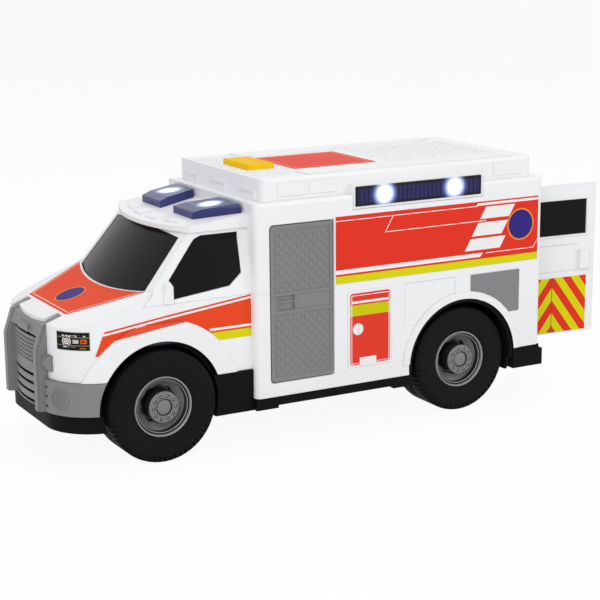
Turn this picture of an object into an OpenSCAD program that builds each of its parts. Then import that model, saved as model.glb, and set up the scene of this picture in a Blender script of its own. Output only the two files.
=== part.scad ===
// Toy ambulance: long-nosed cab, square box body, hinged doors, blue lamps and a push button on the roof.
// Drawn with the front axle at x = 0, the front towards -X, the left side towards -Y and the ground at z = 0.
// Every piece is then moved together, so that the origin lies on the ground at the middle of the length.

/* [Running gear] */
// Distance between the two axles
wheelbase = 183; // [174:1:190]
// Outside diameter of a tyre
tyre_d = 59.4; // [57:0.2:61]
// Width of a tyre
tyre_w = 24; // [21:0.5:25.5]
// Outside diameter of a wheel rim
rim_d = 32; // [29:0.5:36]
// Width over the outer faces of the wheels
track_w = 105; // [102:0.5:107]
// Diameter of a steel axle
axle_d = 3; // [2.5:0.1:3.6]
// Gap between a tyre and the edge of its wheel arch
arch_gap = 5.6; // [5:0.1:6.5]
// Height of the flat underside above the ground
ground_clearance = 19.5; // [18:0.5:21]

/* [Box body] */
// Distance of the box's front face behind the front axle
box_start = 52.7; // [51:0.1:55]
// Reach of the box behind the rear axle
rear_overhang = 54.2; // [52:0.1:60]
// Width of the box
box_w = 108.2; // [106:0.2:112]
// Height of the box's top edge above the ground
box_top = 130; // [128:0.5:136]
// Height of the seam between the lower and the upper shell
seam_z = 82.6; // [81:0.1:84]
// Height of the box's bottom edge between the wheels
sill_z = 26; // [24:0.5:27.5]
// Wall thickness of the body shells
wall = 2.4; // [2:0.1:2.7]
// Radius of the box's upright edges
box_r = 3.2; // [2.5:0.1:4.5]
// Radius of the box's top edges
box_top_r = 2.2; // [1.6:0.1:3]

/* [Roof cap] */
// Height of the roof cap above the box
cap_h = 11.7; // [11:0.1:14]
// Step from the box's front face back to the roof cap
cap_front_step = 6.5; // [5:0.1:8]
// Step from the box's rear face in to the roof cap
cap_rear_step = 6; // [5:0.1:8]
// Step from the box's side in to the roof cap
cap_side_step = 4.2; // [3.4:0.1:5]

/* [Cab] */
// Width of the cab at the wings
cab_w = 99; // [96:0.5:101]
// Reach of the nose ahead of the front axle
nose_reach = 52; // [50:0.5:55]
// Corner radius of the nose, seen from above
nose_r = 26; // [22:0.5:28]
// Height of the cab's bottom edge behind the front wheel
cab_sill_z = 42; // [40:0.5:44]
// Height of the hood at its rear edge
cowl_z = 88.2; // [87:0.1:90]
// Reach of the hood's rear edge ahead of the front axle
cowl_reach = 9; // [7:0.5:11]
// Fall of the hood towards the nose, in degrees
hood_slope = 16.7; // [14:0.1:18]
// Rake of the windscreen above the level, in degrees
screen_rake = 49.5; // [47:0.5:53]
// Radius of the windscreen's bulge
screen_r = 200; // [170:5:260]
// Width of the cab at its roof
cab_roof_w = 88.8; // [86:0.2:92]
// Height of the cab roof where it meets the box
cab_roof_z = 124.4; // [122:0.2:125.6]
// Fall of the cab roof towards the windscreen, in degrees
roof_slope = 6.5; // [5:0.1:7.5]

/* [Doors] */
// Width of the rear door
rear_door_w = 58.6; // [52:0.2:62]
// Height of the rear door
rear_door_h = 89.6; // [85:0.2:91]
// Thickness of a door
door_t = 3.3; // [3:0.1:3.6]
// Gap round a closed door
door_gap = 0.4; // [0.3:0.05:0.55]
// Angle at which the rear door stands open, in degrees
rear_door_open = 94; // [84:1:97]
// Distance of a side door behind the box's front face
side_door_start = 8.8; // [8.4:0.1:11]
// Width of a side door
side_door_w = 38.1; // [34:0.1:41]
// Height of a side door
side_door_h = 84.2; // [80:0.2:86]
// Diameter of the stub pins on which a door swings
hinge_pin_d = 1.8; // [1.5:0.1:2]

/* [Lamps and button] */
// Distance of a side light bar behind the box's front face
bar_start = 60.6; // [57:0.2:66]
// Length of a side light bar's lens
bar_len = 80.6; // [72:0.2:86]
// Height of a side light bar's lens
bar_h = 10.3; // [9:0.1:11]
// Distance of the roof button behind the box's front face
button_start = 16.8; // [15:0.2:19]
// Length of the roof button
button_len = 15.5; // [13:0.1:17]
// Width of the roof button
button_w = 30; // [26:0.5:36]
// Height of the roof button above the roof
button_proud = 3; // [2.6:0.1:4]
// Travel of the roof button
button_travel = 1.5; // [1:0.1:1.8]

/* [Hidden] */
$fn = 64;

// Colours
body_white = [0.93, 0.94, 0.95];
trim_grey = [0.5, 0.5, 0.51];
chassis_black = [0.09, 0.08, 0.09];
glass_black = [0.06, 0.05, 0.06];
lens_blue = [0.12, 0.12, 0.45];
led_clear = [0.8, 0.85, 1];
label_red = [0.88, 0.2, 0.12];
label_orange = [0.9, 0.3, 0.13];
button_yellow = [0.96, 0.74, 0.08];
board_green = [0.1, 0.4, 0.2];
dome_rubber = [0.8, 0.8, 0.76];
speaker_grey = [0.3, 0.3, 0.32];
steel = [0.7, 0.71, 0.72];

// Fits and cuts
overrun = 2;
fit_gap = 0.2;
run_gap = 0.06;
label_t = 0.2;
box_len = wheelbase + rear_overhang - box_start;
reach = 2 * box_len;

// Wheels, arches and wells
tyre_r = tyre_d / 2;
axle_z = tyre_r;
rim_r = rim_d / 2;
arch_r = tyre_r + arch_gap;
front_arch_gap = 3;
front_arch_top = tyre_d + front_arch_gap;
front_arch_side_gap = 4.3;
front_arch_r = tyre_r + front_arch_side_gap;
arch_lip_w = 4.3;
arch_lip_proud = 0.8;
flare_w = 11;
flare_proud = 1;
liner_t = 1.6;
liner_gap = 0.6;
wheel_gap = 2;
well_y = track_w / 2 - tyre_w - wheel_gap;

// Box shell and floor
box_end = box_start + box_len;
box_side = box_w / 2;
tail_step = 6;
tail_z = sill_z + tail_step;
post_d = 7;
post_gap = 0.3;
post_inset = wall + post_gap + post_d / 2;
post_bore_d = 2.5;
post_bore_h = 12;
floor_t = 1.7;
axle_headroom = 0.3;
floor_z = axle_z + axle_d / 2 + axle_headroom;
floor_top = floor_z + floor_t;
pass_half_share = 0.75;
panel_sink = 0.4;
panel_proud = 0.4;
panel_w = 33.2;
panel_h = 24;
panel_drop = 4.4;
panel_setback = 5.2;

// Locker hatch moulded on the lower side
hatch_rise = 9.3;
hatch_h = 42.6;
hatch_r = 1.5;
hatch_margin = 1.4;

// Roof cap
cap_x0 = box_start + cap_front_step;
cap_x1 = box_end - cap_rear_step;
cap_side = box_side - cap_side_step;
cap_top = box_top + cap_h;
cap_t = 2.2;
cap_r = 3;
cap_top_r = 1.8;
rail_h = 0.6;
rail_out_share = 0.92;
rail_mid_share = 0.7;
rail_in_share = 0.56;
rail_x_shares = [0.17, 0.22, 0.5, 0.54, 0.9, 0.94];
bracket_proud = 1.2;
bracket_h = 5.6;
bracket_w = 18;
bracket_frame = 1.6;
bracket_shares = [-0.68, 0, 0.68];
relief_proud = 0.3;
relief_margin = 2.2;
relief_len = 17;
relief_tail = 26;
relief_starts = [9, 28, cap_x1 - cap_x0 - relief_tail];

// Side light bars
bar_x0 = box_start + bar_start;
bar_sink_share = 0.6;
bar_z0 = box_top - bar_sink_share * bar_h;
bar_proud = 0.4;
bar_depth = 7;
bar_frame = 1.5;
bar_lens_t = 1.6;
bar_led_shares = [0.22, 0.78];

// Cab
cab_side = cab_w / 2;
cab_roof_side = cab_roof_w / 2;
bumper_rise = 4.4;
bumper_top = cab_sill_z + bumper_rise;
shoulder_rise = 29;
shoulder_z = seam_z + shoulder_rise;
crest_rear_share = 0.87;
crest_front_share = 0.545;
crest_len = 32.6;
shoulder_drop = 3.8;
screen_foot = 13;
hood_rise = tan(hood_slope);
hood_n = [-hood_rise, 0, 1] / norm([-hood_rise, 0, 1]);
cowl_point = [-cowl_reach, 0, cowl_z];
screen_point = [-screen_foot, 0, cowl_z - (screen_foot - cowl_reach) * hood_rise];
screen_tilt = 90 - screen_rake;
screen_len = (cab_roof_z - screen_point.z) / sin(screen_rake);
screen_dip = 6.2;
screen_foot_share = 0.89;
screen_top_share = 0.91;
roof_rise = tan(roof_slope);
roof_n = [-roof_rise, 0, 1] / norm([-roof_rise, 0, 1]);
brow_x = 8.9;
brow_r = 107;
brow_corner_r = 10;
brow_t = 2.2;
brow_z = cab_roof_z - (box_start - brow_x) * roof_rise - brow_t;
drip_w = 1.2;
pad_x0 = 13.5;
pad_len = 10;
pad_w = 12;
pad_proud = 0.7;
pad_shares = [-0.62, -0.21, 0.21, 0.62];
shell_t = 1.8;
glass_t = 1.5;
glass_sink = 0.5;
window_gap = 0.15;
window_drop = 1.9;
window_top = brow_z - window_drop;
// Corners of a side window, as shares of the cab's length behind the axle and of the height above the seam
window_shares = [
    [0.164, 0.058], [0.77, 0.165], [0.91, 0.35], [0.9, 1],
    [0.5, 1], [0.43, 0.955], [0.125, 0.36], [0.16, 0.28]
];
// Corners of a mirror foot, in the same shares
mirror_shares = [[0.05, 0], [0.155, 0], [0.152, 0.27], [0.122, 0.345], [0.07, 0.32]];
mirror_proud = 0.6;

// Doors
hinge_r = door_t / 2;
hinge_block = 2 * door_t;
jamb_depth = 3 * door_t;
pin_len = 4;
door_drop = 3.7;
rear_door_x = box_end - hinge_r;
rear_door_y = -rear_door_w / 2 + hinge_r;
rear_door_z0 = floor_top - door_drop;
rear_door_z1 = rear_door_z0 + rear_door_h;
side_door_lift = 0.6;
side_door_x0 = box_start + side_door_start;
side_door_x1 = side_door_x0 + side_door_w;
side_hinge_x = side_door_x1 - hinge_r;
side_hinge_y = box_side - hinge_r;
side_door_z0 = floor_top + side_door_lift;
side_door_z1 = side_door_z0 + side_door_h;

// The hatch lies between the side door and the rear arch, as shares of the room there
hatch_room = wheelbase - arch_r - arch_lip_w - side_door_x1;
hatch_gap_share = 0.196;
hatch_w_share = 0.637;
hatch_x0 = side_door_x1 + hatch_gap_share * hatch_room;
hatch_w = hatch_w_share * hatch_room;

// Screws
screw_d = 2.6;
screw_head_d = 5;
screw_head_h = 1.8;
screw_grip = 6;
screw_seat_z = ground_clearance + 2 * screw_head_h;

// Light-emitting diodes
led_d = 3;
led_h = 5.2;
cab_led_shares = [0.78, -0.58];
cab_led_place = [cab_led_shares.x * box_start, cab_led_shares.y * cab_roof_side];

// Button and board
button_x0 = box_start + button_start;
button_gap = 0.3;
button_flange = 1.2;
button_flange_t = 1.4;
button_flange_z = cap_top - cap_t - fit_gap - button_flange_t;
board_t = 1.6;
board_lift = 1.4;
board_z = box_top + board_lift;

// Overall reach, and the shift that puts the origin at the middle of the length
guard_proud = 5.8;
guard_reach = nose_reach + guard_proud;
door_reach = rear_door_w - hinge_r;
tail_reach = rear_door_x + door_reach * sin(rear_door_open) + hinge_r * abs(cos(rear_door_open));
frame_shift = (guard_reach - tail_reach) / 2;

// Moves a piece from the front axle's frame to the part's own origin
module in_frame() translate([frame_shift, 0, 0]) children();

// Draws its children on the left, or mirrored on the right
module on_side(side) mirror([0, side > 0 ? 1 : 0, 0]) children();

// Draws its children on both sides
module both_sides() {
    for (side = [-1, 1]) on_side(side) children();
}

// Rectangle between two corners
module square_at(lo, hi) translate(lo) square(hi - lo);

// Rectangle between two corners, with round corners
module round_rect(lo, hi, r) {
    square_at([lo.x + r, lo.y], [hi.x - r, hi.y]);
    square_at([lo.x, lo.y + r], [hi.x, hi.y - r]);
    for (x = [lo.x + r, hi.x - r], y = [lo.y + r, hi.y - r])
        translate([x, y]) circle(r);
}

// Block between two corners
module block(lo, hi) translate(lo) cube(hi - lo);

// Extrudes an outline drawn in x and z along Y, between two places
module along_y(y0, y1) translate([0, y1, 0]) rotate([90, 0, 0]) linear_extrude(y1 - y0) children();

// Extrudes an outline drawn in y and z along X, between two places
module along_x(x0, x1) translate([x0, 0, 0]) rotate([90, 0, 90]) linear_extrude(x1 - x0) children();

// Extrudes an outline drawn in x and y upwards, between two heights
module along_z(z0, z1) translate([0, 0, z0]) linear_extrude(z1 - z0) children();

// Everything on the outer side of a plane through a point
module beyond(point, normal) {
    n = normal / norm(normal);
    translate(point)
        rotate([0, acos(n.z), atan2(n.y, n.x)])
            translate([-reach / 2, -reach / 2, 0]) cube(reach);
}

// Box body with round upright edges and round top edges, shrunk by an inset
module box_form(inset) {
    side = box_side - inset;
    top = box_top - inset;
    intersection() {
        along_z(sill_z - box_r, top)
            round_rect([box_start + inset, -side], [box_end - inset, side], box_r - inset / 2);
        along_x(box_start, box_end)
            round_rect([-side, sill_z - 2 * box_r], [side, top], box_top_r - inset / 2);
    }
}

// Walls of the box between two heights
module box_walls(z0, z1) {
    intersection() {
        difference() {
            box_form(0);
            box_form(wall);
        }
        block([box_start - overrun, -box_w, z0], [box_end + overrun, box_w, z1]);
    }
}

// Plan of the nose and cab, with round front corners, shrunk by an inset
module nose_plan(inset, nose = nose_reach, side = cab_side, r = nose_r) {
    front = -nose + inset;
    half = side - inset;
    round_r = r - inset;
    square_at([front + round_r, -half], [box_start + wall / 2, half]);
    square_at([front, -half + round_r], [front + round_r + overrun, half - round_r]);
    for (y = [-half + round_r, half - round_r]) translate([front + round_r, y]) circle(round_r);
}

// An outline drawn in x and z, laid round the left of nose and cab from a depth in the wall to a height on it
module on_cab_side(sink, proud) {
    intersection() {
        along_y(-box_w, 0) children();
        along_z(cab_sill_z, cowl_z) difference() {
            nose_plan(-proud);
            nose_plan(sink);
        }
    }
}

// The space behind the windscreen's outer face, shrunk by an inset
module behind_screen(inset) {
    translate(screen_point)
        rotate([0, screen_tilt, 0])
            translate([screen_r, 0, -screen_len])
                cylinder(r = screen_r - inset, h = 3 * screen_len, $fn = 180);
}

// Corners of a wing's sloping shoulder: cowl, front of the crest, and the wing's top edge beside it
function shoulder_points(side) = let (x1 = -cowl_reach - crest_len) [
    [-cowl_reach, side * cab_side * crest_rear_share, cowl_z],
    [x1, side * cab_side * crest_front_share, cowl_z - crest_len * hood_rise],
    [x1, side * cab_side, cowl_z - crest_len * hood_rise - shoulder_drop]
];
function plane_normal(p) = cross(p[1] - p[0], p[2] - p[0]);
function upwards(n) = n.z < 0 ? -n / norm(n) : n / norm(n);

// Hood, wings and lower cab up to the seam, shrunk by an inset
module nose_form(inset, z0, rear) {
    difference() {
        intersection() {
            along_z(z0, cowl_z + overrun) nose_plan(inset);
            block([-reach, -reach, 0], [rear, reach, reach]);
        }
        beyond(cowl_point - inset * hood_n, hood_n);
        for (side = [-1, 1]) {
            n = upwards(plane_normal(shoulder_points(side)));
            beyond(shoulder_points(side)[0] - inset * n, n);
        }
        intersection() {
            behind_screen(-inset - fit_gap / 2);
            block([-reach, -reach, seam_z - inset], [reach, reach, reach]);
        }
    }
}

// Outlines of the wheel arches, grown by a margin, in x and z; the front one is flat at its top
module front_arch(margin) {
    intersection() {
        translate([0, axle_z]) circle(front_arch_r + margin);
        square_at([-reach, -reach], [reach, front_arch_top + margin]);
    }
}
module rear_arch(margin) translate([wheelbase, axle_z]) circle(arch_r + margin);

// Openings for the three doors
module door_openings() {
    block([box_end - jamb_depth, -rear_door_w / 2 - door_gap, rear_door_z0 - door_gap],
          [box_end + overrun, rear_door_w / 2 + door_gap, rear_door_z1 + door_gap]);
    both_sides()
        block([side_door_x0 - door_gap, -box_side - overrun, side_door_z0 - door_gap],
              [side_door_x1 + door_gap, -box_side + jamb_depth, side_door_z1 + door_gap]);
}

// Blocks in which the side doors' stub pins turn, between two heights
module side_hinge_blocks(z0, z1) {
    both_sides()
        block([side_hinge_x - hinge_block, -box_side + wall / 2, z0],
              [side_door_x1 + hinge_r, -box_side + hinge_block, z1]);
}

// Bores for the doors' stub pins
module hinge_bores() {
    bore_r = hinge_pin_d / 2 + run_gap;
    lift = pin_len + 2 * fit_gap;
    both_sides()
        translate([side_hinge_x, -side_hinge_y, side_door_z0 - lift])
            cylinder(r = bore_r, h = side_door_h + 2 * lift);
    translate([rear_door_x, rear_door_y, rear_door_z0 - lift])
        cylinder(r = bore_r, h = rear_door_h + 2 * lift);
}

// Places of the four posts that take the body screws
module at_posts() {
    for (x = [box_start + post_inset, box_end - post_inset], y = [-1, 1])
        translate([x, y * (box_side - post_inset), 0]) children();
}

// Places of the four screws that hold the roof cap
module at_roof_screws() {
    for (x = [cap_x0 + post_inset, cap_x1 - post_inset], y = [-1, 1])
        translate([x, y * (cap_side - post_inset), 0]) children();
}

module hatch_outline(margin) {
    z0 = sill_z + hatch_rise;
    round_rect([hatch_x0 + margin, z0 + margin],
               [hatch_x0 + hatch_w - margin, z0 + hatch_h - margin], hatch_r);
}

// Flat beside the rear arch: ahead of the wheel or behind it
module arch_panel(x0) {
    z1 = seam_z - panel_drop;
    difference() {
        square_at([x0, z1 - panel_h], [x0 + panel_w, z1]);
        rear_arch(arch_lip_w + fit_gap);
    }
}

// White lower shell: hood, wings, cab sides and the lower half of the box
module lower_body() color(body_white) in_frame() difference() {
    union() {
        box_walls(sill_z, seam_z);
        difference() {
            nose_form(0, cab_sill_z, box_start + wall / 2);
            nose_form(wall, cab_sill_z - overrun, box_start);
        }
        both_sides() {
            on_cab_side(wall / 2, flare_proud) front_arch(flare_w);
            along_y(-box_side - arch_lip_proud, -box_side + wall / 2) difference() {
                rear_arch(arch_lip_w);
                square_at([0, -reach], [box_end, tail_z]);
            }
            along_y(-box_side - panel_proud, -box_side + wall / 2) hatch_outline(0);
        }
        side_hinge_blocks(sill_z, side_door_z0 - door_gap);
    }
    along_y(-box_w, box_w) {
        front_arch(0);
        rear_arch(0);
    }
    both_sides()
        along_y(-box_side - overrun, -box_side + panel_sink) arch_panel(wheelbase - panel_setback - panel_w);
    door_openings();
    hinge_bores();
    guard_pocket();
    floor_pass();
    block([wheelbase, -box_w, 0], [box_end + overrun, box_w, tail_z]);
}

// Way through the box's front wall for the chassis floor
module floor_pass() {
    half = pass_half_share * cab_side + fit_gap;
    block([box_start - overrun, -half, 0], [box_start + wall + overrun, half, floor_top + fit_gap]);
}

// Front profile of the upper cab, shrunk by an inset
module cab_profile(inset) {
    foot = cab_side - inset;
    top = cab_roof_side - inset;
    polygon([
        [-foot, seam_z], [foot, seam_z], [top, shoulder_z],
        [top, box_top], [-top, box_top], [-top, shoulder_z]
    ]);
}

// Everything above the sloping cab roof
module above_roof(inset) beyond([box_start, 0, cab_roof_z] - inset * roof_n, roof_n);

// Upper cab between the seam and the roof, shrunk by an inset
module greenhouse(inset, rear) {
    difference() {
        intersection() {
            along_x(-nose_reach, rear) cab_profile(inset);
            behind_screen(inset);
        }
        above_roof(inset);
    }
}

// Roof plate with a round brow over the windscreen, and the pads on it
module brow() {
    half = cab_roof_side + drip_w;
    difference() {
        along_z(brow_z, cab_roof_z) intersection() {
            translate([brow_x + brow_r, 0]) circle(brow_r, $fn = 180);
            round_rect([brow_x, -half], [box_start + brow_corner_r, half], brow_corner_r);
            square_at([0, -half], [box_start + wall / 2, half]);
        }
        above_roof(0);
    }
    intersection() {
        for (share = pad_shares)
            block([pad_x0, share * cab_roof_side - pad_w / 2, brow_z],
                  [pad_x0 + pad_len, share * cab_roof_side + pad_w / 2, box_top]);
        difference() {
            translate([brow_x + pad_len / 2 + brow_r, 0, brow_z])
                cylinder(r = brow_r, h = box_top, $fn = 180);
            above_roof(-pad_proud);
        }
    }
}

// A point given in shares of the cab's length and of the height from the seam to the window's top
function cab_point(p) = [p.x * box_start, seam_z + p.y * (window_top - seam_z)];

// Windscreen and side window openings, shrunk by a margin
module window_openings(margin) {
    foot = screen_foot_share * cab_side;
    top_half = screen_top_share * cab_roof_side;
    top = (brow_z - screen_point.z) / sin(screen_rake);
    translate(screen_point)
        rotate([0, screen_tilt, 0])
            rotate([0, 90, 0])
                translate([0, 0, -fit_gap]) linear_extrude(8 * shell_t)
                    offset(delta = -margin)
                        polygon([
                            [screen_dip, -foot], [screen_dip, foot], [-top, top_half], [-top, -top_half]
                        ]);
    along_y(-box_w, box_w)
        offset(delta = -margin) polygon([for (p = window_shares) cab_point(p)]);
}

// Housing of a side light bar, grown by a margin
module bar_housing(margin) {
    m = bar_frame + margin;
    block([bar_x0 - m, -box_side - margin, bar_z0 - m],
          [bar_x0 + bar_len + m, -box_side + bar_depth + m, bar_z0 + bar_h + m]);
}

// White upper shell: cab roof and pillars, and the upper half of the box with its ceiling
module upper_body() color(body_white) in_frame() difference() {
    union() {
        box_walls(seam_z, box_top);
        difference() {
            union() {
                greenhouse(0, box_start + wall / 2);
                brow();
                both_sides()
                    along_y(-cab_side - mirror_proud, -cab_roof_side + shell_t)
                        polygon([for (p = mirror_shares) cab_point(p)]);
            }
            greenhouse(shell_t, box_start);
        }
        at_posts() along_z(floor_top, box_top - wall / 2) circle(d = post_d);
        side_hinge_blocks(side_door_z1 + door_gap, box_top - wall / 2);
        block([box_end - hinge_block, -rear_door_w / 2, rear_door_z1 + door_gap],
              [box_end - wall / 2, rear_door_y + hinge_block, box_top - wall / 2]);
    }
    window_openings(0);
    door_openings();
    hinge_bores();
    both_sides() bar_housing(fit_gap);
    at_posts() along_z(floor_top - overrun, floor_top + post_bore_h) circle(d = post_bore_d);
    at_roof_screws() along_z(box_top - wall - overrun, box_top + overrun) circle(d = screw_d + fit_gap);
    both_sides() along_z(brow_z, box_top) translate(cab_led_place) circle(d = led_d + fit_gap);
    sound_holes();
}

// Raised rail along one side of the roof, in plan
module rail_plan() {
    x = [for (s = rail_x_shares) cap_x0 + s * (cap_x1 - cap_x0)];
    y_out = -rail_out_share * cap_side;
    y_mid = -rail_mid_share * cap_side;
    y_in = -rail_in_share * cap_side;
    polygon([
        [x[0], y_out], [x[0], y_mid], [x[1], y_in], [x[2], y_in], [x[3], y_mid], [x[4], y_mid],
        [x[5], (y_mid + y_out) / 2], [x[5], y_out]
    ]);
}

// Roof cap with its rails, front brackets, side reliefs and the housings of the two light bars
module roof_cap() color(body_white) in_frame() difference() {
    union() {
        difference() {
            intersection() {
                along_z(box_top, cap_top) round_rect([cap_x0, -cap_side], [cap_x1, cap_side], cap_r);
                along_x(cap_x0, cap_x1)
                    round_rect([-cap_side, box_top - cap_h], [cap_side, cap_top], cap_top_r);
            }
            along_z(box_top - overrun, cap_top - cap_t)
                round_rect([cap_x0 + cap_t, -cap_side + cap_t],
                           [cap_x1 - cap_t, cap_side - cap_t], cap_r / 2);
        }
        both_sides() {
            bar_housing(0);
            along_z(cap_top - cap_t / 2, cap_top + rail_h) rail_plan();
            for (start = relief_starts)
                block([cap_x0 + start, -cap_side - relief_proud, box_top + relief_margin],
                      [cap_x0 + start + relief_len, -cap_side + cap_t / 2, cap_top - relief_margin]);
        }
        for (share = bracket_shares) translate([cap_x0, share * cap_side, box_top]) difference() {
            block([-bracket_proud, -bracket_w / 2, 0], [cap_t / 2, bracket_w / 2, bracket_h]);
            block([-2 * bracket_proud, -bracket_w / 2 + bracket_frame, -overrun],
                  [-bracket_proud / 3, bracket_w, bracket_h - bracket_frame]);
        }
        at_roof_screws() along_z(box_top, cap_top - cap_t / 2) circle(d = post_d);
    }
    both_sides() {
        block([bar_x0 - fit_gap, -box_side - overrun, bar_z0 - fit_gap],
              [bar_x0 + bar_len + fit_gap, -box_side + bar_depth, bar_z0 + bar_h + fit_gap]);
        at_bar_leds() rotate([90, 0, 0]) cylinder(d = led_d + fit_gap, h = 2 * bar_depth, center = true);
    }
    along_z(cap_top - cap_t - overrun, cap_top + overrun)
        square_at([button_x0 - button_gap, -button_w / 2 - button_gap],
                  [button_x0 + button_len + button_gap, button_w / 2 + button_gap]);
    at_roof_screws() along_z(box_top - overrun, box_top + screw_grip) circle(d = post_bore_d);
}

// Tinted windows in one insert: a liner behind the shell, with panes that fill the openings
module cab_glazing() color(glass_black) in_frame() {
    liner = shell_t + fit_gap;
    difference() {
        union() {
            greenhouse(liner, box_start - fit_gap);
            intersection() {
                greenhouse(glass_sink, box_start - fit_gap);
                window_openings(window_gap);
            }
        }
        greenhouse(liner + glass_t, box_start + overrun);
        block([-reach, -reach, 0], [reach, reach, seam_z + fit_gap]);
        above_roof(liner + glass_t);
    }
}

// Front guard: two bent bars, a bulging grille with mesh and slats, and the bumper corners
guard_foot = 9.3;
guard_foot_z = ground_clearance + guard_foot;
guard_bar_w = 6.4;
guard_depth = 14.4;
guard_bend_h = 32;
guard_elbow_back = 4.4;
guard_half = 25.6;
guard_h = 44.6;
guard_top_rise = 4.6;
guard_bevel = 1.2;
grille_r = 90;
grille_sink = 2.4;
grille_t = 3;
grille_h = 40;
grille_back_gap = 3;
mesh_z0 = 22.7;
mesh_pitch = 2.2;
mesh_hole = 1.4;
mesh_rows = 6;
mesh_cols = 17;
slat_z0 = 0.9;
slat_pitch = 4.8;
slat_count = 4;
slat_h = 1.6;
vent_z0 = 36.6;
bridge_sink = 0.6;
plate_w = 15;
plate_h = 3.6;
plate_proud = 0.7;
boss_d = 8;
boss_x = 6.4;
boss_z = 26;
boss_w = 5;
bumper_proud = 2.5;
bumper_reach = nose_reach + bumper_proud;
bumper_side = cab_side + bumper_proud / 2;
bumper_r = nose_r + bumper_proud;
bumper_t = 3;
fog_angle = 31;
fog_d = 11;
fog_ring = 0.8;
fog_proud = 0.5;
fog_share = 0.5;
intake_w = 3.2;
intake_h = 1.4;
intake_shares = [0.16, 0.45, 0.74];

module in_guard() translate([-guard_reach, 0, guard_foot_z]) children();

// Round bosses on the bars' outer sides, grown by a margin
module guard_bosses(margin) {
    in_guard() both_sides()
        translate([boss_x, -guard_half + overrun, boss_z])
            rotate([90, 0, 0]) cylinder(d = boss_d + 2 * margin, h = boss_w + overrun + margin);
}

// Room for the guard in the nose; above the grille the hood runs up to the back of the bridge
module guard_pocket() {
    half = guard_half + fit_gap;
    inner = guard_half - guard_bar_w - fit_gap;
    in_guard() difference() {
        block([-reach, -half, -guard_foot_z], [guard_depth + fit_gap, half, cowl_z]);
        intersection() {
            translate([grille_sink + grille_r, 0, grille_h])
                cylinder(r = grille_r - grille_t - fit_gap, h = reach, $fn = 180);
            block([0, -inner, 0], [reach, inner, reach]);
        }
    }
    guard_bosses(fit_gap);
    block([-reach, -reach, 0], [-nose_reach + nose_r, reach, bumper_top]);
}

// Side view of a guard bar, from its foot over the bend and the elbow to the hood, set back by a distance
module bar_profile(back) {
    polygon([
        [back, 0], [back, guard_bend_h], [guard_elbow_back + back, guard_h - back / 2],
        [guard_depth, guard_h + guard_top_rise - back], [guard_depth, 0]
    ]);
}

// Bar with a bevelled front edge on each side
module guard_bar() {
    along_y(-guard_half, -guard_half + guard_bar_w) bar_profile(guard_bevel);
    along_y(-guard_half + guard_bevel, -guard_half + guard_bar_w - guard_bevel) bar_profile(0);
}

// Bulging wall of the grille, with its front face moved forward by a distance
module grille_ring(forward, h) {
    translate([grille_sink + grille_r, 0, 0]) difference() {
        cylinder(r = grille_r + forward, h = h, $fn = 180);
        translate([0, 0, -overrun]) cylinder(r = grille_r - grille_t, h = h + 2 * overrun, $fn = 180);
    }
}

module grille_panel() {
    inner = guard_half - guard_bar_w / 2;
    clear = guard_half - guard_bar_w - fit_gap;
    deep = guard_depth + overrun;
    difference() {
        intersection() {
            grille_ring(0, grille_h);
            block([0, -inner, 0], [guard_depth, inner, grille_h]);
        }
        for (col = [0 : mesh_cols - 1], row = [0 : mesh_rows - 1]) {
            y = (col - (mesh_cols - 1) / 2) * mesh_pitch;
            z = mesh_z0 + row * mesh_pitch;
            block([-overrun, y - mesh_hole / 2, z], [deep, y + mesh_hole / 2, z + mesh_hole]);
        }
        for (i = [0 : slat_count - 1])
            translate([0, 0, slat_z0 + i * slat_pitch])
                block([-overrun, -clear, 0], [deep, clear, slat_h]);
        block([-overrun, -clear, vent_z0], [deep, clear, vent_z0 + slat_h]);
    }
}

// Bridge between the bars' upper ends, with a blank plate on its face
module guard_bridge() {
    inner = guard_half - guard_bar_w / 2;
    z0 = vent_z0 + slat_h;
    intersection() {
        along_y(-inner, inner) bar_profile(bridge_sink);
        grille_ring(grille_sink - bridge_sink, guard_h + 2 * guard_top_rise);
        block([0, -inner, z0], [guard_depth, inner, guard_h + 2 * guard_top_rise]);
    }
    block([bridge_sink + guard_elbow_back / 2 - plate_proud, -plate_w / 2, z0],
          [grille_sink + grille_t / 2, plate_w / 2, z0 + plate_h]);
}

// Bumper corner with small intakes beside the bar and a round lamp relief
module bumper_corner() {
    z0 = guard_foot_z + fit_gap;
    z1 = bumper_top - fit_gap;
    y1 = -guard_half + guard_bar_w / 2;
    difference() {
        along_z(z0, z1) intersection() {
            difference() {
                nose_plan(0, bumper_reach, bumper_side, bumper_r);
                nose_plan(bumper_t, bumper_reach, bumper_side, bumper_r);
            }
            square_at([-reach, -reach], [-nose_reach + nose_r, y1]);
        }
        for (share = intake_shares)
            block([-reach, -guard_half - intake_w, z0 + share * (z1 - z0)],
                  [-nose_reach, -guard_half - fit_gap, z0 + share * (z1 - z0) + intake_h]);
    }
    intersection() {
        along_z(z0, z1) difference() {
            nose_plan(-fog_proud, bumper_reach, bumper_side, bumper_r);
            nose_plan(bumper_t / 2, bumper_reach, bumper_side, bumper_r);
        }
        translate([-bumper_reach + bumper_r, -bumper_side + bumper_r, z0 + fog_share * (z1 - z0)])
            rotate(180 + fog_angle) rotate([0, 90, 0]) difference() {
                cylinder(d = fog_d, h = 2 * bumper_r);
                cylinder(d = fog_d - 2 * fog_ring, h = 2 * bumper_r);
            }
    }
}

module front_guard() color(trim_grey) in_frame() difference() {
    union() {
        in_guard() {
            grille_panel();
            guard_bridge();
            both_sides() guard_bar();
        }
        guard_bosses(0);
        both_sides() bumper_corner();
    }
    along_y(-box_w, box_w) front_arch(fit_gap);
    block([-reach, -reach, 0], [reach, reach, guard_foot_z + fit_gap / 2]);
}

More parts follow.
